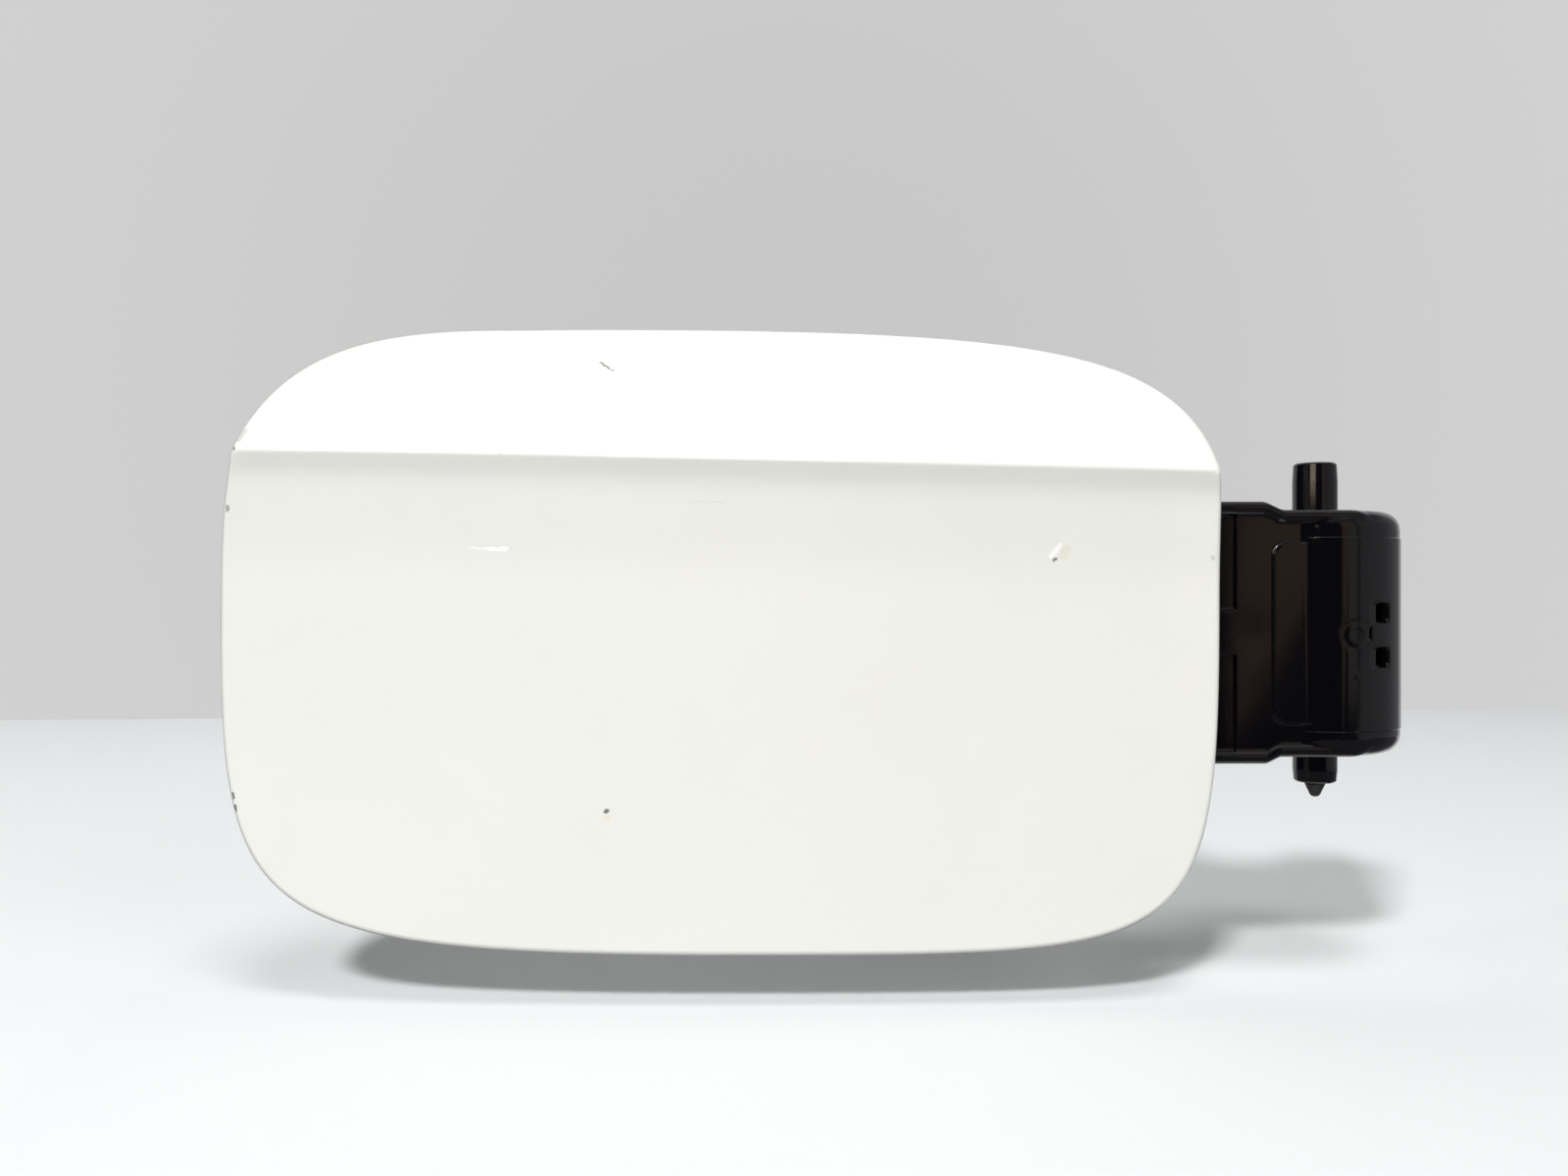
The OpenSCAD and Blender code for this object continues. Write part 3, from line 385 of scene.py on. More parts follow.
def make_panel(material):
    """The pressed inner panel, with its paint holes and drain slots open."""
    shell = Shell()
    edge = (EDGE - PANEL_INSET * EDGE_OUT)[::2]
    holes = [circle_loop(*hole, 64) for hole in PAINT_HOLES]
    holes += [slot_loop(*slot, *DRAIN_SIZE, 48) for slot in DRAIN_SLOTS]
    u, v = np.meshgrid(np.arange(LEFT - 2, -20, 1.25), np.arange(-DOOR_DROP - 2, TOP + 2, 1.25))
    u = u + (np.arange(u.shape[0]) % 2)[:, None] * 0.6
    grid = np.stack([u.ravel(), v.ravel()], 1)
    grid = grid[inside_loop(grid, EDGE - 1.7 * EDGE_OUT)]
    for loop in holes:
        grid = grid[loop_distance(grid, loop) > 0.5]
        grid = grid[~inside_loop(grid, loop)]
    pts, tris = triangulate([edge] + holes, grid, [lambda p, loop=loop: inside_loop(p, loop) for loop in holes])
    rear_y = panel_rear(pts)
    rear = shell.add(np.stack([pts[:, 0], rear_y, pts[:, 1]], 1))
    front = shell.add(np.stack([pts[:, 0], rear_y - PANEL_T, pts[:, 1]], 1))
    shell.faces += [tuple(rear[t]) for t in tris] + [tuple(front[t[::-1]]) for t in tris]
    start = 0
    for loop in [edge] + holes:
        n = len(loop)
        shell.strip(rear[start:start + n], front[start:start + n])
        start += n
    return shell.object("door_inner_panel", material, "door")


# ---------------------------------------------------------------- materials
class Look:
    """Builds one node material. Textures read the object's own coordinates, in metres."""

    def __init__(self, name, color, rough, **sockets):
        self.mat = bpy.data.materials.new(name)
        self.mat.use_nodes = True
        self.nodes, self.links = self.mat.node_tree.nodes, self.mat.node_tree.links
        self.shader = self.nodes["Principled BSDF"]
        self.put(self.shader, {"Base Color": color, "Roughness": rough, **sockets})
        self.place = self.nodes.new("ShaderNodeTexCoord").outputs["Object"]

    def put(self, node, inputs):
        """Sets or links a node's inputs."""
        for key, value in inputs.items():
            socket = node.inputs[key]
            if isinstance(value, bpy.types.NodeSocket):
                self.links.new(value, socket)
            elif socket.type == "RGBA" and len(value) == 3:
                socket.default_value = (*value, 1)
            else:
                socket.default_value = value

    def add(self, kind, inputs, out=0, **settings):
        """Adds a node with its inputs and settings, and gives one output."""
        node = self.nodes.new(kind)
        for key, value in settings.items():
            setattr(node, key, value)
        self.put(node, inputs)
        return node.outputs[out]

    def math(self, operation, a, b=0.0, clamp=False):
        return self.add("ShaderNodeMath", {0: a, 1: b}, operation=operation, use_clamp=clamp)

    def vector(self, operation, a, b, out=0):
        return self.add("ShaderNodeVectorMath", {0: a, 1: b}, out, operation=operation)

    def stretched(self, scale, turn=(0, 0, 0), place=None):
        return self.add("ShaderNodeMapping", {"Vector": place or self.place, "Scale": scale, "Rotation": turn})

    def noise(self, scale, detail=2.0, rough=0.5, place=None, out="Fac"):
        return self.add("ShaderNodeTexNoise", {"Vector": place or self.place, "Scale": scale, "Detail": detail,
                                               "Roughness": rough}, out=out)

    def ramp(self, value, low, high, to_low=0.0, to_high=1.0):
        """A smooth step of a value between two levels."""
        return self.add("ShaderNodeMapRange", {"Value": value, "From Min": low, "From Max": high, "To Min": to_low,
                                               "To Max": to_high}, interpolation_type="SMOOTHSTEP")

    def blend(self, share, a, b):
        """Mixes two colours."""
        node = self.nodes.new("ShaderNodeMix")
        node.data_type = "RGBA"
        for key, value in ((0, share), (6, a), (7, b)):
            socket = node.inputs[key]
            if isinstance(value, bpy.types.NodeSocket):
                self.links.new(value, socket)
            else:
                socket.default_value = (*value, 1) if key else value
        return node.outputs[2]

    def between(self, share, a, b):
        """Mixes two numbers."""
        return self.add("ShaderNodeMapRange", {"Value": share, "To Min": a, "To Max": b})

    def bump(self, height, distance, strength=1.0, normal=None):
        inputs = {"Height": height, "Distance": distance, "Strength": strength}
        if normal is not None:
            inputs["Normal"] = normal
        return self.add("ShaderNodeBump", inputs)

    def near_line(self, start, end, radius, soft, wobble):
        """1 near a line between two places given in millimetres, 0 away from it, with a ragged edge."""
        a, b = Vector(start) * MM, Vector(end) * MM
        run = b - a
        off = self.vector("SUBTRACT", wobble, tuple(a))
        along = self.vector("DOT_PRODUCT", off, tuple(run / max(run.length_squared, 1e-12)), "Value")
        along = self.math("ADD", along, 0.0, clamp=True)
        foot = self.add("ShaderNodeVectorMath", {0: tuple(run), "Scale": along}, operation="SCALE")
        away = self.vector("DISTANCE", off, foot, "Value")
        return self.ramp(away, (radius - soft) * MM, (radius + soft) * MM, 1.0, 0.0)

    def finish(self, **sockets):
        self.put(self.shader, {key.replace("_", " "): value for key, value in sockets.items()})
        return self.mat


# Marks on the painted face: where they start and end, how wide, how soft, how strong, and their colour. The white
# marks are painted highlights; the marks round the dent at x -60 are painted light and shade.
DARK, DULL, PAINTED_HIGHLIGHT, YELLOWISH = (0.1, 0.095, 0.085), (0.42, 0.42, 0.4), (1.0, 1.0, 0.98), (0.8, 0.74, 0.55)
MARKS = [
    ((-152.1, -18.2, 80.2), (-149.5, -19.3, 78.4), 0.26, 0.12, 0.85, (0.13, 0.13, 0.125)),
    # painted highlight: a bright streak below the crease
    ((-176.4, -26.3, 42.5), (-172.0, -26.5, 42.5), 0.3, 0.2, 0.7, PAINTED_HIGHLIGHT),
    ((-172.4, -26.5, 42.4), (-169.4, -26.6, 42.5), 0.45, 0.2, 1.0, PAINTED_HIGHLIGHT),
    # a dent, painted as light and shade: a yellowish painted shade to its lower right, a painted highlight, and a dark
    # painted shade spot below
    ((-60.0, -25.6, 40.9), (-59.6, -25.6, 42.0), 0.8, 0.6, 0.5, YELLOWISH),
    ((-62.6, -25.7, 41.0), (-60.9, -25.8, 43.0), 0.5, 0.15, 1.0, PAINTED_HIGHLIGHT),
    ((-62.0, -25.7, 40.1), (-61.5, -25.7, 40.3), 0.3, 0.12, 0.9, (0.22, 0.19, 0.15)),
    ((-149.3, -28.6, -9.9), (-149.1, -28.6, -10.3), 0.5, 0.4, 0.5, YELLOWISH),
    ((-149.6, -28.6, -8.8), (-149.4, -28.6, -8.7), 0.42, 0.15, 0.9, DARK),
    ((-223.2, -25.9, 62.3), (-223.0, -25.9, 61.8), 0.32, 0.15, 0.75, DARK),
    ((-222.3, -25.1, 63.9), (-221.5, -24.3, 65.6), 0.6, 0.5, 0.6, DULL),
    ((-225.0, -24.3, 50.7), (-225.0, -24.3, 49.9), 0.3, 0.15, 0.6, DARK),
    ((-223.5, -25.6, -6.0), (-223.3, -25.6, -6.6), 0.4, 0.15, 0.9, DARK),
    ((-222.9, -25.8, -8.4), (-222.7, -25.8, -8.9), 0.4, 0.15, 0.9, DARK),
    ((-216.8, -27.3, -23.3), (-215.6, -27.4, -24.4), 0.36, 0.15, 0.85, (0.24, 0.18, 0.12)),
    ((-30.2, -23.9, 40.6), (-30.0, -23.9, 40.5), 0.35, 0.25, 0.5, DULL),
    ((-29.6, -24.8, -3.0), (-29.4, -24.8, -3.9), 0.4, 0.15, 0.9, (0.2, 0.19, 0.17)),
    ((-134.1, -27.7, 51.2), (-126.5, -27.7, 51.3), 0.14, 0.1, 0.22, DULL),
    ((-112.7, -16.0, 83.0), (-112.5, -16.0, 82.9), 0.3, 0.2, 0.35, DULL),
    ((-170.3, -28.5, 60.9), (-170.1, -28.5, 60.8), 0.3, 0.2, 0.5, DULL),
]


def white_paint():
    """Glossy body paint with orange peel, a thin film of dust, hairlines, a few chips, and marks of painted highlight
    and painted shade.
    """
    look = Look("white_paint", (0.9, 0.895, 0.86), 0.3,
                **{"Coat Weight": 1.0, "Coat IOR": 1.5, "Specular IOR Level": 0.35})
    film = look.noise(22.0, 4.0, 0.6)
    color = look.blend(look.ramp(film, 0.35, 0.72), (0.905, 0.908, 0.868), (0.89, 0.888, 0.842))
    fine = look.noise(1900.0, 2.0, 0.7)
    color = look.blend(look.ramp(fine, 0.68, 0.8, 0.0, 0.22), color, (0.5, 0.46, 0.38))
    # places moved about by up to half a millimetre, so that the marks' edges are ragged
    warped = look.vector("MULTIPLY", look.noise(1300.0, 3.0, 0.65, out="Color"), (0.0011,) * 3)
    warped = look.vector("SUBTRACT", look.vector("ADD", look.place, warped), (0.00055,) * 3)
    damage_and_painted_light = None
    for start, end, radius, soft, strength, tint in MARKS:
        mask = look.math("MULTIPLY", look.near_line(start, end, radius, soft, warped), strength)
        color = look.blend(mask, color, tint)
        damage_and_painted_light = mask if damage_and_painted_light is None else look.math("MAXIMUM", damage_and_painted_light, mask)
    hair = look.ramp(look.noise(60.0, 3.0, 0.6, look.stretched((1.0, 1.0, 22.0), (0.0, 0.7, 0.0))), 0.66, 0.7)
    rough = look.between(look.ramp(film, 0.2, 0.9), 0.3, 0.36)
    peel = look.noise(640.0, 1.0, 0.4)
    normal = look.bump(peel, 0.00006, 0.16)
    normal = look.bump(hair, 0.000012, 0.3, normal)
    coat_rough = look.between(look.ramp(film, 0.2, 0.9), 0.07, 0.1)
    normal = look.bump(damage_and_painted_light, -0.00006, 0.7, normal)
    rough = look.math("ADD", rough, look.math("MULTIPLY", damage_and_painted_light, 0.35))
    coat_rough = look.math("ADD", coat_rough, look.math("MULTIPLY", damage_and_painted_light, 0.4))
    return look.finish(Base_Color=color, Roughness=rough, Normal=normal, Coat_Roughness=coat_rough,
                       Coat_Normal=normal)


def black_plastic():
    """Glossy moulded plastic: slightly wavy, with fine hairlines, dust and rubbed spots."""
    look = Look("black_plastic", (0.002, 0.002, 0.0026), 0.12, **{"Specular IOR Level": 0.5})
    cloud = look.noise(55.0, 4.0, 0.6)
    rubbed = look.ramp(look.noise(160.0, 5.0, 0.7), 0.62, 0.74)
    dust = look.ramp(look.noise(2600.0, 2.0, 0.6), 0.7, 0.78, 0.0, 0.5)
    color = look.blend(rubbed, (0.0017, 0.0016, 0.0023), (0.0048, 0.0042, 0.0038))
    color = look.blend(dust, color, (0.02, 0.0185, 0.016))
    hair = look.ramp(look.noise(90.0, 3.0, 0.6, look.stretched((1.0, 1.0, 16.0), (0.0, 0.35, 0.0))), 0.7, 0.76)
    rough = look.between(look.ramp(cloud, 0.3, 0.75), 0.07, 0.13)
    rough = look.math("ADD", rough, look.math("MULTIPLY", rubbed, 0.12))
    normal = look.bump(look.noise(75.0, 2.0, 0.5), 0.0004, 0.06)
    normal = look.bump(look.noise(1500.0, 2.0, 0.5), 0.00003, 0.12, normal)
    normal = look.bump(hair, 0.000006, 0.25, normal)
    return look.finish(Base_Color=color, Roughness=rough, Normal=normal)


def plunger_plastic():
    """Satin dark olive-brown plastic with a fine grain."""
    look = Look("plunger_plastic", (0.03, 0.027, 0.02), 0.42)
    grain = look.noise(1800.0, 3.0, 0.6)
    color = look.blend(look.ramp(look.noise(300.0, 3.0, 0.6), 0.35, 0.7), (0.021, 0.019, 0.014), (0.036, 0.032, 0.023))
    return look.finish(Base_Color=color, Roughness=look.between(grain, 0.34, 0.52),
                       Normal=look.bump(grain, 0.00004, 0.25))


def washer_plastic():
    """Natural white plastic with a little grease."""
    look = Look("washer_plastic", (0.78, 0.78, 0.74), 0.4)
    smear = look.ramp(look.noise(260.0, 4.0, 0.6), 0.5, 0.72)
    color = look.blend(smear, (0.79, 0.79, 0.75), (0.6, 0.56, 0.46))
    return look.finish(Base_Color=color, Roughness=look.between(smear, 0.42, 0.2),
                       Normal=look.bump(look.noise(900.0, 2.0), 0.00003, 0.2))


def black_rubber():
    """Matt rubber with a fine grain, greyed by dust."""
    look = Look("black_rubber", (0.02, 0.02, 0.02), 0.75, **{"Specular IOR Level": 0.3})
    grain = look.noise(1400.0, 4.0, 0.7)
    dust = look.ramp(look.noise(240.0, 4.0, 0.7), 0.48, 0.75, 0.0, 0.7)
    color = look.blend(dust, (0.016, 0.016, 0.017), (0.06, 0.057, 0.052))
    return look.finish(Base_Color=color, Roughness=look.between(grain, 0.62, 0.86),
                       Normal=look.bump(grain, 0.00008, 0.5))


def mastic():
    """Grey soft pads, pressed flat, with a dull skin."""
    look = Look("mastic", (0.22, 0.22, 0.21), 0.8, **{"Specular IOR Level": 0.25})
    lump = look.noise(420.0, 4.0, 0.6)
    color = look.blend(look.ramp(lump, 0.35, 0.7), (0.19, 0.19, 0.18), (0.27, 0.265, 0.25))
    return look.finish(Base_Color=color, Roughness=look.between(lump, 0.7, 0.9),
                       Normal=look.bump(lump, 0.0002, 0.5))


def zinc_steel():
    """Zinc plating: a fine crystalline grey with a faint yellow cast, wiped spots and scratches."""
    look = Look("zinc_steel", (0.66, 0.65, 0.6), 0.36, Metallic=1.0)
    cast = look.noise(120.0, 4.0, 0.6)
    spangle = look.add("ShaderNodeTexVoronoi", {"Vector": look.place, "Scale": 900.0}, out="Color")
    spangle = look.add("ShaderNodeSeparateColor", {0: spangle})
    color = look.blend(look.ramp(cast, 0.35, 0.7), (0.7, 0.7, 0.68), (0.6, 0.57, 0.47))
    color = look.blend(look.ramp(spangle, 0.0, 1.0, 0.0, 0.18), color, (0.45, 0.45, 0.44))
    wear = look.noise(70.0, 4.0, 0.6, look.stretched((1.0, 9.0, 1.0), (0.3, 0.2, 0.6)))
    rough = look.between(look.ramp(wear, 0.3, 0.75), 0.27, 0.46)
    normal = look.bump(look.ramp(wear, 0.55, 0.62), 0.00002, 0.35)
    return look.finish(Base_Color=color, Roughness=rough, Normal=look.bump(spangle, 0.00001, 0.3, normal))


def spring_steel():
    """Dark drawn steel with a film of oil."""
    look = Look("spring_steel", (0.3, 0.3, 0.31), 0.3, Metallic=1.0)
    film = look.noise(260.0, 4.0, 0.6)
    color = look.blend(look.ramp(film, 0.35, 0.7), (0.33, 0.33, 0.34), (0.2, 0.185, 0.165))
    drawn = look.noise(400.0, 3.0, 0.6, look.stretched((1.0, 1.0, 6.0)))
    return look.finish(Base_Color=color, Roughness=look.between(look.ramp(film, 0.3, 0.7), 0.22, 0.4),
                       Normal=look.bump(drawn, 0.00002, 0.3))


# ---------------------------------------------------------------- stage
FLOOR_Z = -0.0469
FLOOR_TONES = (0.775, 0.8, 0.82), (0.79, 0.81, 0.825)
FLOOR_BOUNCE = (0.35, 0.357, 0.366)     # the floor as the light on the object sees it
FLOOR_SIDE, FLOOR_NEAR, FLOOR_FAR, WALL_HIGH = 3, -3.0, 2.0, 2.5
WALL_TONE = (0.63, 0.635, 0.63)
WALL_LINE = (-0.598, 0.5089), (0.419, 0.5924)       # x and y of two places on the wall, which stands slightly turned


def stage_object(name, points, faces, material):
    """A thing that isn't part of the object, such as the floor."""
    mesh = bpy.data.meshes.new(name)
    mesh.from_pydata(points, [], faces)
    obj = bpy.data.objects.new(name, mesh)
    bpy.context.scene.collection.objects.link(obj)
    mesh.materials.append(material)
    return obj


def plain_share(tree):
    """1 for camera, glossy and transmission rays, which see the plain pale background."""
    path = tree.nodes.new("ShaderNodeLightPath")
    total = path.outputs["Is Camera Ray"]
    for ray in ("Is Glossy Ray", "Is Transmission Ray"):
        add = tree.nodes.new("ShaderNodeMath")
        add.operation, add.use_clamp = "ADD", True
        tree.links.new(total, add.inputs[0])
        tree.links.new(path.outputs[ray], add.inputs[1])
        total = add.outputs[0]
    return total


def wall_y(x):
    """The y of the wall behind the door."""
    (x0, y0), (x1, y1) = WALL_LINE
    return y0 + (x - x0) * (y1 - y0) / (x1 - x0)


def make_stage():
    """The plain floor and wall. Behind the object the wall's glow is painted a little darker, as painted shade."""
    look = Look("floor", FLOOR_TONES[0], 0.6, **{"Specular IOR Level": 0.15})
    tone = look.blend(look.noise(3.0, 2.0, 0.5), *FLOOR_TONES)
    look.finish(Base_Color=look.blend(plain_share(look), FLOOR_BOUNCE, tone))
    side = FLOOR_SIDE
    stage_object("floor", [(x, y, FLOOR_Z) for x, y in ((-side, FLOOR_NEAR), (side, FLOOR_NEAR), (side, FLOOR_FAR),
                                                        (-side, FLOOR_FAR))], [(0, 1, 2, 3)], look.mat)

    look = Look("wall", (0.6, 0.6, 0.6), 0.8, **{"Specular IOR Level": 0.1})
    # painted shade: the wall's glow is 9 % darker near the place behind the object
    middle = look.vector("DISTANCE", look.place, (-0.1, 0.55, 0.17), "Value")
    tone = look.blend(look.ramp(middle, 0.05, 0.6), tuple(0.91 * c for c in WALL_TONE), WALL_TONE)
    glow = look.add("ShaderNodeEmission", {"Color": tone, "Strength": 1.0})
    mixed = look.add("ShaderNodeMixShader", {0: plain_share(look), 1: look.shader.outputs[0], 2: glow})
    look.links.new(mixed, look.nodes["Material Output"].inputs["Surface"])
    low = FLOOR_Z - 0.01
    stage_object("backdrop", [(x, wall_y(x), z) for x, z in ((-side, low), (side, low), (side, WALL_HIGH),
                                                             (-side, WALL_HIGH))], [(0, 1, 2, 3)], look.mat)


# Lamps: azimuth from straight in front towards +X, elevation, side, watts, and whether gloss shows them
AIM, LAMP_DISTANCE, LAMP_COLOR = Vector((-0.1, 0.0, 0.02)), 2.4, (1, 0.995, 0.98)
LAMPS = {
    "key": (-20, 42, 0.3, 49.0, True),
    "high": (10, 70, 0.7, 20.0, False),
    "right": (44, 30, 0.9, 7.0, False),
}
AMBIENT = 0.01          # strength of the light from all round


def make_lamps():
    """Three soft lamps, and a world that is plain for the camera and faint as a light."""
    for name, (azimuth, elevation, side, power, in_gloss) in LAMPS.items():
        data = bpy.data.lights.new(name, "AREA")
        data.size, data.energy, data.color = side, power, LAMP_COLOR
        a, e = math.radians(azimuth), math.radians(elevation)
        toward = Vector((math.sin(a) * math.cos(e), -math.cos(a) * math.cos(e), math.sin(e)))
        lamp = bpy.data.objects.new(name, data)
        bpy.context.scene.collection.objects.link(lamp)
        lamp.location = AIM + LAMP_DISTANCE * toward
        lamp.rotation_euler = toward.to_track_quat("Z", "Y").to_euler()
        lamp.visible_camera = False
        lamp.visible_glossy = in_gloss
    world = bpy.data.worlds.new("world")
    bpy.context.scene.world = world
    world.use_nodes = True
    nodes, links = world.node_tree.nodes, world.node_tree.links
    plain, ambient = nodes["Background"], nodes.new("ShaderNodeBackground")
    plain.inputs[0].default_value = (*WALL_TONE, 1)
    plain.inputs[1].default_value = 1.0
    ambient.inputs[0].default_value = (1.0, 0.985, 0.95, 1)
    ambient.inputs[1].default_value = AMBIENT
    mix = nodes.new("ShaderNodeMixShader")
    links.new(plain_share(world.node_tree), mix.inputs[0])
    links.new(ambient.outputs[0], mix.inputs[1])
    links.new(plain.outputs[0], mix.inputs[2])
    links.new(mix.outputs[0], nodes["World Output"].inputs["Surface"])


CARD_R, CARD_START, CARD_SPAN = 0.25, -128, 250        # metres; degrees from straight in front


def make_reflection_card():
    """A dark glowing card round the front of the hinge, seen only in gloss, which paints reflections on the black
    parts.

    Its tones go by the turn round the hinge, in degrees from straight in front, and by the height in millimetres.
    """
    look = Look("card", (0, 0, 0), 1.0)
    sep = look.nodes.new("ShaderNodeSeparateXYZ")
    look.links.new(look.place, sep.inputs[0])
    turn = look.math("ARCTAN2", sep.outputs["X"], look.math("MULTIPLY", sep.outputs["Y"], -1.0))
    turn = look.math("MULTIPLY", turn, 180 / math.pi)
    height = look.math("MULTIPLY", sep.outputs["Z"], 1000.0)

    def window(value, low, high, soft):
        """1 between two levels and 0 outside them, with soft ends."""
        return look.math("MULTIPLY", look.ramp(value, low - soft, low + soft),
                         look.ramp(value, high - soft, high + soft, 1.0, 0.0))

    # painted reflection: a warm brown patch, seen in the arm's plate, with a slanted lower edge
    slant = look.add("ShaderNodeMath", {0: turn, 1: -9.0, 2: 144.0}, operation="MULTIPLY_ADD")
    above = look.ramp(look.math("ADD", height, slant), -9.0, 9.0)
    brown = look.math("MULTIPLY", window(turn, 13.3, 21.5, 0.5), above)
    # a darker notch cut into the painted brown reflection
    hole = look.math("MULTIPLY", window(turn, 14.0, 16.3, 0.3), window(height, 17.0, 27.0, 1.5))
    brown = look.math("MULTIPLY", brown, look.math("SUBTRACT", 1.0, look.math("MULTIPLY", hole, 0.6)))
    # painted reflection: a dull warm-grey patch beside the brown one
    dull = look.math("MULTIPLY", window(turn, 21.0, 34.0, 1.2), look.ramp(height, -22.0, 4.0))
    # painted glint: a bright warm streak high up, seen as a highlight on the pivot's upper end
    strip = look.math("MULTIPLY", window(turn, -46.0, -19.0, 2.5),
                      look.math("MULTIPLY", look.ramp(height, 66.0, 79.0), look.ramp(height, 190.0, 200.0, 1.0, 0.0)))
    # the card's tones: a dark ground with the painted reflections laid over it, greyer further round and higher up
    tone = look.blend(brown, (0.025, 0.022, 0.036), (0.42, 0.3, 0.215))
    tone = look.blend(dull, tone, (0.37, 0.345, 0.29))
    tone = look.blend(look.ramp(turn, 31.0, 42.0), tone, (0.34, 0.34, 0.36))
    tone = look.blend(look.ramp(turn, 50.0, 80.0), tone, (0.33, 0.33, 0.35))
    tone = look.blend(look.ramp(height, 200.0, 240.0), tone, (0.22, 0.22, 0.26))
    tone = look.blend(strip, tone, (3.4, 2.7, 2.1))
    tone = look.blend(look.ramp(height, -46.5, -44.0, 1.0, 0.0), tone, (0.16, 0.16, 0.185))
    # the card glows though it is no lamp; only gloss sees it, as painted reflections
    glow = look.add("ShaderNodeEmission", {"Color": tone, "Strength": 1.0})
    look.links.new(glow, look.nodes["Material Output"].inputs["Surface"])
    low, steps, rows = FLOOR_Z + 0.0005, 80, []
    turns = [math.radians(CARD_START + CARD_SPAN * i / steps) for i in range(steps + 1)]
    for radius, z in ((0.03, low), (CARD_R, low), (CARD_R, 0.2), (CARD_R, 0.4)):
        rows.append([(radius * math.sin(a), -radius * math.cos(a), z) for a in turns])
    size = steps + 1
    faces = [(j * size + i, j * size + i + 1, (j + 1) * size + i + 1, (j + 1) * size + i)
             for j in range(3) for i in range(steps)]
    card = stage_object("card", sum(rows, []), faces, look.mat)
    for ray in ("camera", "diffuse", "transmission", "volume_scatter", "shadow"):
        setattr(card, "visible_" + ray, False)


make_stage()
make_lamps()
make_reflection_card()

MATERIALS = {make.__name__: make() for make in (white_paint, black_plastic, plunger_plastic, washer_plastic,
                                                  black_rubber, mastic, zinc_steel, spring_steel)}
for row in frame["record"]["subparts"]:
    obj = frame["nodes"][row["node"]]
    obj.data.materials.clear()
    obj.data.materials.append(MATERIALS[row["material_slot"]])

skin = make_skin(MATERIALS["white_paint"])
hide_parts("outer_skin")
panel = make_panel(MATERIALS["white_paint"])
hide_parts("inner_panel")


# ---------------------------------------------------------------- the arm's front
ARM_R, PLATE_Y, END_ROUND, BAND_STEP = 16.8, 14.8, 3.8, 0.2
FOOT_LOW, FOOT_HIGH = -1.4, 52.3
RIM_R, RIM_H, STRIP_X, PAD_H = 1.3, 1.0, -22.2, 0.4
SHELL_LEFT, DRUM_END = -35.8, 110.2      # where the front starts in x, and at which turn round the drum it ends
PLATE_DEEP, DRUM_DEEP = 10.7, ARM_R - 4.95      # how far its edges reach back at the plate and at the drum
TUCK = 0.35                     # how far the outermost points lie behind the solid's face, so that they stay unseen
LUG, PAD = (-29.0, 25.6, 16.0, 9.2, 1.0), (-10.0, 25.3, 9.4, 37.0, 2.5)      # centre, width, height, corner radius
BANDS = (5.12, 5.24), (44.9, 45.02)     # where the drum steps down towards its ends
MARK_TURN, MARK_Z, SLIT_TURN, SLIT_Z = 6.0, 25.0, 16.4, 25.4
SPOTS = (6.4, 5.0, 0.5, 0.22), (5.4, 17.0, 0.5, 0.1)        # turn, height, radius, how far it stands out
GROW, SHELL_T = 0.04, 0.5        # how far the front stands over the solid arm, and its thickness
WINDOW_TURN, WINDOW_Z = 26.0, (29.45, 20.35)
RECESS, HOLE, HOLE_SHIFT, HOLE_ROUND = (5.5, 4.4), (3.3, 4.0), 0.7, 0.8


def smooth_step(value, low, high):
    t = np.clip((value - low) / (high - low), 0, 1)
    return t * t * (3 - 2 * t)


def rect_off(u, v, w, h, r):
    """Signed distance from a rectangle with round corners around the origin."""
    qu, qv = np.abs(u) - w / 2 + r, np.abs(v) - h / 2 + r
    return np.hypot(np.clip(qu, 0, None), np.clip(qv, 0, None)) + np.minimum(np.maximum(qu, qv), 0) - r


def arm_edge(x, top):
    """Height of the arm's upper or lower edge."""
    if top:
        start, end, bend_a, bend_b, turn, level = (-17.2, FOOT_HIGH), -12.2, 3.5, 3.0, math.radians(25), DRUM_H
    else:
        start, end, bend_a, bend_b, turn, level = (-16.4, -FOOT_LOW), -13.0, 1.6, 1.4, math.radians(35), 0.0
    angles = np.linspace(0, turn, 9)
    first = np.stack([start[0] + bend_a * np.sin(angles), start[1] - bend_a * (1 - np.cos(angles))], 1)
    last = np.stack([end - bend_b * np.sin(angles[::-1]), level + bend_b * (1 - np.cos(angles[::-1]))], 1)
    path = np.vstack([first, last])
    z = np.interp(x, path[:, 0], path[:, 1])
    return z if top else -z


def arm_section():
    """The arm's front seen from above: the plate, a soft corner, and the drum, as points by their length."""
    x = np.arange(SHELL_LEFT, -3.0, 0.02)
    disc = np.sqrt(np.clip(ARM_R**2 - x**2, 0, None))
    y = -soft_max(np.full_like(x, PLATE_Y), disc, 0.8)
    turn = np.radians(np.arange(math.degrees(math.asin(-3.0 / ARM_R)), DRUM_END + 0.01, 0.05))
    path = np.vstack([np.stack([x, y], 1), np.stack([ARM_R * np.sin(turn), -ARM_R * np.cos(turn)], 1)])
    run = np.concatenate([[0], np.cumsum(np.linalg.norm(np.diff(path, axis=0), axis=1))])
    return path, run


def spaced(*parts):
    """Values from start to end of each part at its own spacing: (start, end, step), in order."""
    values = []
    for start, end, step in parts:
        values.append(np.linspace(start, end, max(2, int(round((end - start) / step)) + 1))[:-1])
    return np.concatenate(values + [[parts[-1][1]]])


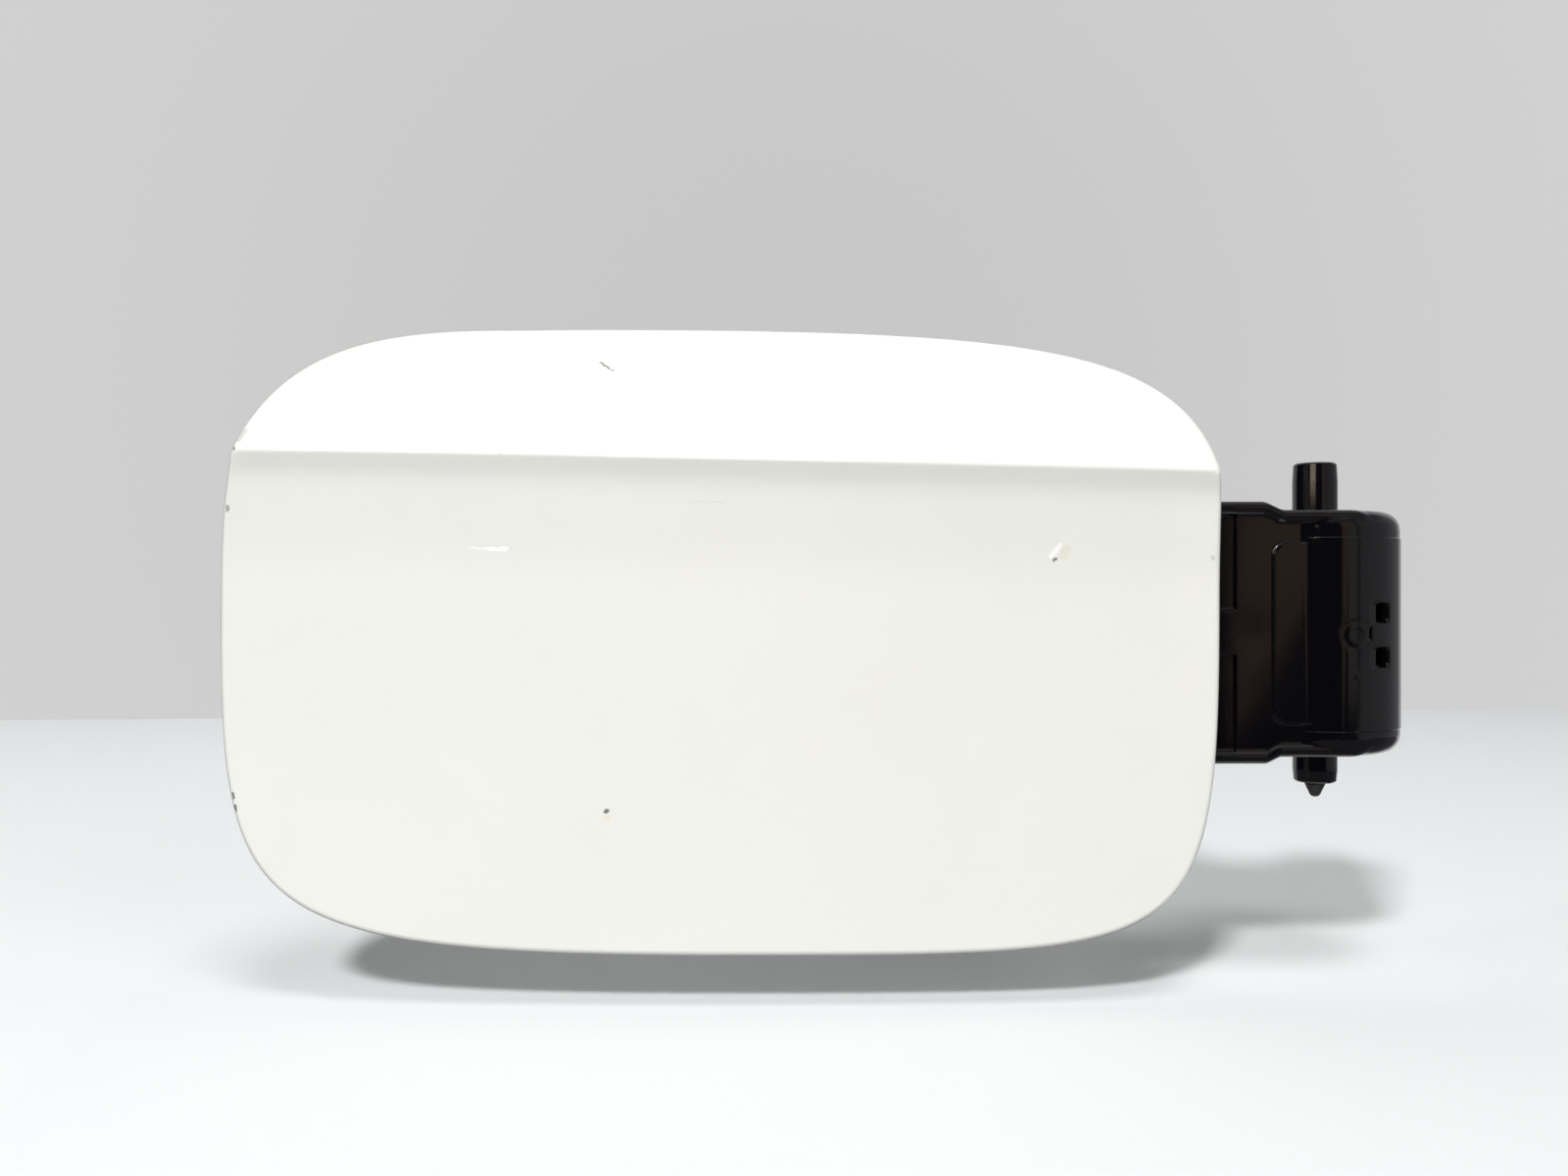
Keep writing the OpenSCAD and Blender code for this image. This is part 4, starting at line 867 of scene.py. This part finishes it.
def arm_relief(x, turn, z):
    """How far the arm's front stands out of its plain section, without the rims."""
    on_drum = smooth_step(x, -8.6, -6.4)
    strip = 1 - smooth_step(x, STRIP_X - 0.35, STRIP_X + 0.05)
    lug = 1 - smooth_step(rect_off(x - LUG[0], z - LUG[1], *LUG[2:]), -0.25, 0.2)
    relief = -1.0 * strip * (1 - lug)
    pad = 1 - smooth_step(rect_off(x - PAD[0], z - PAD[1], *PAD[2:]), -0.2, 0.3)
    relief = relief + PAD_H * pad * (1 - smooth_step(x, -9.2, -6.6))
    band = 1 - smooth_step(z, *BANDS[0]) + smooth_step(z, *BANDS[1])
    relief = relief - BAND_STEP * band * on_drum
    around = np.radians(turn) * ARM_R
    for window_z in WINDOW_Z:
        u = around - math.radians(WINDOW_TURN) * ARM_R
        off = rect_off(u, z - window_z, *RECESS, 1.1)
        relief = relief - 0.6 * (1 - smooth_step(off, -0.55, 0.25)) * on_drum
    mark = np.hypot(around - math.radians(MARK_TURN) * ARM_R, z - MARK_Z)
    relief = relief - 0.09 * np.exp(-((mark - 2.8) / 0.5)**2) - 0.4 * (1 - smooth_step(mark, 0.3, 1.3))
    relief = relief + 0.04 * np.exp(-((mark - 1.75) / 0.45)**2)
    bow = 0.03 * (z - SLIT_Z)**2
    slit = rect_off(around - math.radians(SLIT_TURN) * ARM_R - bow, z - SLIT_Z, 0.55, 3.3, 0.25)
    relief = relief - 0.55 * (1 - smooth_step(slit, -0.18, 0.1))
    for spot_turn, spot_z, radius, height in SPOTS:
        spot = np.hypot(around - math.radians(spot_turn) * ARM_R, z - spot_z)
        relief = relief + height * (1 - smooth_step(spot, 0.1, radius))
    return relief


def make_arm_front(material):
    """The visible front of the arm: plate, round rims, pad, drum with its round ends, windows and marks."""
    path, run = arm_section()
    drum_zero = run[-1] - math.radians(DRUM_END) * ARM_R

    def at_turn(degrees):
        """The length along the section at a turn round the drum."""
        return drum_zero + math.radians(degrees) * ARM_R

    def at_x(x):
        """The length along the section at a place on the plate."""
        on_plate = slice(0, 1600)
        return float(np.interp(x, path[on_plate, 0], run[on_plate]))

    middle = at_turn(WINDOW_TURN)
    hole_s = (middle + HOLE_SHIFT - HOLE[0] / 2, middle + HOLE_SHIFT + HOLE[0] / 2)
    s = spaced((0, 0.6, 0.2), (0.6, at_x(-22.8), 0.62), (at_x(-22.8), at_x(-21.8), 0.11),
               (at_x(-21.8), at_x(-15.2), 0.42), (at_x(-15.2), at_x(-14.2), 0.12), (at_x(-14.2), at_turn(-4), 0.33),
               (at_turn(-4), at_turn(15.2), 0.24), (at_turn(15.2), at_turn(17.8), 0.13),
               (at_turn(17.8), hole_s[0], 0.22), (hole_s[0], hole_s[1], 0.24), (hole_s[1], middle + 3.1, 0.15),
               (middle + 3.1, at_turn(DRUM_END - 2), 0.5), (at_turn(DRUM_END - 2), run[-1], 0.2))
    px, py = np.interp(s, run, path[:, 0]), np.interp(s, run, path[:, 1])
    ahead = np.stack([np.interp(s + 0.05, run, path[:, k]) - np.interp(s - 0.05, run, path[:, k]) for k in (0, 1)], 1)
    ahead /= np.linalg.norm(ahead, axis=1)[:, None]
    out = np.stack([ahead[:, 1], -ahead[:, 0]], 1)
    turn = np.degrees((s - drum_zero) / ARM_R)

    # how far each upright section has changed from the plate's kind, with its rims, to the drum's
    far = np.where(turn > 60, 100.0, px)
    on_drum = smooth_step(far, -8.6, -3.0)
    change = smooth_step(far, 0.9, 6.0)
    round_r = RIM_R + (END_ROUND - RIM_R) * change
    proud = (PLATE_Y + RIM_H + py) * (1 - change) - BAND_STEP * change
    centre = round_r - proud
    low, high = arm_edge(px, False), arm_edge(px, True)
    low, high = np.where(turn > 0, 0.0, low), np.where(turn > 0, DRUM_H, high)
    deep = PLATE_DEEP + (DRUM_DEEP - PLATE_DEEP) * smooth_step(far, -10.0, -6.0)
    sink = TUCK * (1 - smooth_step(s, 0.05, 0.5)) + TUCK * smooth_step(s, run[-1] - 0.5, run[-1] - 0.05)

    z_mid = spaced((4.6, 5.0, 0.13), (5.0, 5.4, 0.07), (5.4, 6.5, 0.25), (6.5, 7.2, 0.14), (7.2, 18.35, 0.5),
                   (18.35, 22.35, 0.27), (22.35, 27.45, 0.25), (27.45, 31.45, 0.27), (31.45, 43.3, 0.5),
                   (43.3, 44.1, 0.14), (44.1, 44.75, 0.2), (44.75, 45.15, 0.07), (45.15, 45.6, 0.13))
    share = np.linspace(0, 1, 13)
    even, turns = np.linspace(0, 1, 8), np.radians(np.linspace(0, 90, 10))
    grown = round_r + GROW

    def side_row(t, edge, up):
        """A row on the arm's lower side, up -1, or its upper side, up 1."""
        dip = TUCK * (1 - smooth_step(t, 0.0, 0.06)) - GROW
        return deep + (centre - deep) * t**0.8, edge - up * dip, 0 * s, 0 * s + up

    def rim_row(a, edge, up):
        """A row on the round of the rim or of the drum's end."""
        height = edge - up * (round_r - grown * math.sin(a))
        return centre - grown * math.cos(a), height, 0 * s + math.cos(a), 0 * s + up * math.sin(a)

    # each row: depth, height, and the outward direction in depth and height
    rows = [side_row(t, low, -1) for t in even[:-1]] + [rim_row(a, low, -1) for a in turns[::-1]]
    heights = [low + round_r + (z_mid[0] - low - round_r) * k**1.4 for k in share[1:-1]]
    heights += [0 * s + z for z in z_mid]
    heights += [high - round_r - (high - round_r - z_mid[-1]) * k**1.4 for k in share[-2:0:-1]]
    for z in heights:
        relief = arm_relief(np.where(turn > 0, 50.0, px), turn, z)
        for edge_off in (z - low, high - z):
            back = np.clip(END_ROUND - edge_off, 0, END_ROUND)
            relief = relief - (END_ROUND - np.sqrt(END_ROUND**2 - back**2)) * on_drum
            t = edge_off - round_r
            bead = np.where(t < round_r, np.sqrt(np.clip(round_r**2 - t**2, 0, None)) - centre, -9.0)
            relief = soft_max(relief, bead, 0.02 + 0.22 * np.clip(t / 0.6, 0, 1))
        rows.append((-relief - GROW, z, 0 * s + 1, 0 * s))
    rows += [rim_row(a, high, 1) for a in turns] + [side_row(t, high, 1) for t in even[-2::-1]]
    depth, height, po, pz = (np.array([row[k] for row in rows]) for k in range(4))
    depth = depth + sink * po
    height = height - sink * pz

    # the windows: their quads are left out, and the points at the holes' corners move onto a round
    half_w, half_h, tiny = HOLE[0] / 2, HOLE[1] / 2, 1e-6
    u0 = s - middle - HOLE_SHIFT
    flat = np.array([row[2][-1] for row in rows]) > 0.99
    along = np.tile(s, (len(rows), 1))
    open_quads = np.zeros((len(rows) - 1, len(s) - 1), bool)
    for window_z in WINDOW_Z:
        v = height - window_z
        u = np.tile(u0, (len(rows), 1))
        edge = (np.abs(np.abs(u) - half_w) < tiny) & (np.abs(v) < half_h + tiny)
        edge |= (np.abs(np.abs(v) - half_h) < tiny) & (np.abs(u) < half_w + tiny)
        edge &= po > 0.99
        cu, cv = np.sign(u) * (half_w - HOLE_ROUND), np.sign(v) * (half_h - HOLE_ROUND)
        corner = edge & (np.abs(u) > np.abs(cu) + 1e-9) & (np.abs(v) > np.abs(cv) + 1e-9)
        du, dv = u - cu, v - cv
        length = np.maximum(np.hypot(du, dv), 1e-9)
        along = np.where(corner, along - u + cu + du / length * HOLE_ROUND, along)
        height = np.where(corner, window_z + cv + dv / length * HOLE_ROUND, height)
        inside_s = (u0[:-1] > -half_w - tiny) & (u0[1:] < half_w + tiny)
        zc = np.array([row[1][-1] for row in rows]) - window_z
        inside_z = flat[:-1] & flat[1:] & (zc[:-1] > -half_h - tiny) & (zc[1:] < half_h + tiny)
        open_quads |= inside_z[:, None] & inside_s[None, :]

    bx, by = np.interp(along, run, path[:, 0]), np.interp(along, run, path[:, 1])
    nx, ny = (np.interp(along, s, out[:, k]) for k in (0, 1))
    size = np.hypot(nx, ny)
    nx, ny = nx / size, ny / size
    outer = np.stack([bx - depth * nx, by - depth * ny, height], 2)
    inner = outer - SHELL_T * np.stack([po * nx, po * ny, pz], 2)

    # quads on both faces, and a closing strip wherever a quad has no neighbour
    shell = Shell()
    a = shell.add(outer).reshape(height.shape)
    b = shell.add(inner).reshape(height.shape)
    solid = ~open_quads
    for j, i in zip(*np.nonzero(solid)):
        shell.faces.append((a[j, i], a[j, i + 1], a[j + 1, i + 1], a[j + 1, i]))
        shell.faces.append((b[j, i], b[j + 1, i], b[j + 1, i + 1], b[j, i + 1]))
    padded = np.zeros((solid.shape[0] + 2, solid.shape[1] + 2), bool)
    padded[1:-1, 1:-1] = solid
    for j in range(height.shape[0]):
        for i in range(height.shape[1] - 1):
            if padded[j, i + 1] != padded[j + 1, i + 1]:
                shell.faces.append((a[j, i], a[j, i + 1], b[j, i + 1], b[j, i]))
    for j in range(height.shape[0] - 1):
        for i in range(height.shape[1]):
            if padded[j + 1, i] != padded[j + 1, i + 1]:
                shell.faces.append((a[j, i], a[j + 1, i], b[j + 1, i], b[j, i]))
    return shell.object("hinge_arm_front", material, "door")


make_arm_front(MATERIALS["black_plastic"])


# ---------------------------------------------------------------- the springs, cut into copies
SHARP_ANGLE = math.radians(60)


def spring_part(node, name, low=-100.0, high=100.0):
    """A copy of a spring's solid between two heights in millimetres, in an object of its own; the CAD spring is
    hidden.
    """
    source = frame["nodes"][node]
    work = bmesh.new()
    work.from_mesh(source.data)
    work.transform(source.matrix_world)
    bmesh.ops.remove_doubles(work, verts=work.verts[:], dist=1e-6)
    for height, side in ((low, -1), (high, 1)):
        cut = bmesh.ops.bisect_plane(work, geom=work.verts[:] + work.edges[:] + work.faces[:],
                                     plane_co=(0, 0, height * MM), plane_no=(0, 0, side), clear_outer=True)
        rim = [item for item in cut["geom_cut"] if isinstance(item, bmesh.types.BMEdge)]
        if rim:
            bmesh.ops.contextual_create(work, geom=rim)
    mesh = bpy.data.meshes.new(name)
    work.to_mesh(mesh)
    work.free()
    mesh.shade_smooth()
    mesh.set_sharp_from_angle(angle=SHARP_ANGLE)
    mesh.materials.append(MATERIALS["spring_steel"])
    obj = bpy.data.objects.new(name, mesh)
    bpy.context.scene.collection.objects.link(obj)
    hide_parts(node)
    return obj


# the door spring, cut at mid-height into a lower and an upper copy; on the car its legs stay with the pivot and its
# bridge goes with the door, and each coil turns between them
lower_half = spring_part("hinge_spring", "hinge_spring_lower", high=MID_Z)
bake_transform(lower_half)
upper_half = spring_part("hinge_spring", "hinge_spring_upper", low=MID_Z)
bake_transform(upper_half)

# the plunger's spring, as a copy on the pivot's body; on the car it shortens by the plunger's travel
short_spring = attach(spring_part("plunger_spring", "plunger_spring_coil"), "pivot")
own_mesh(short_spring)
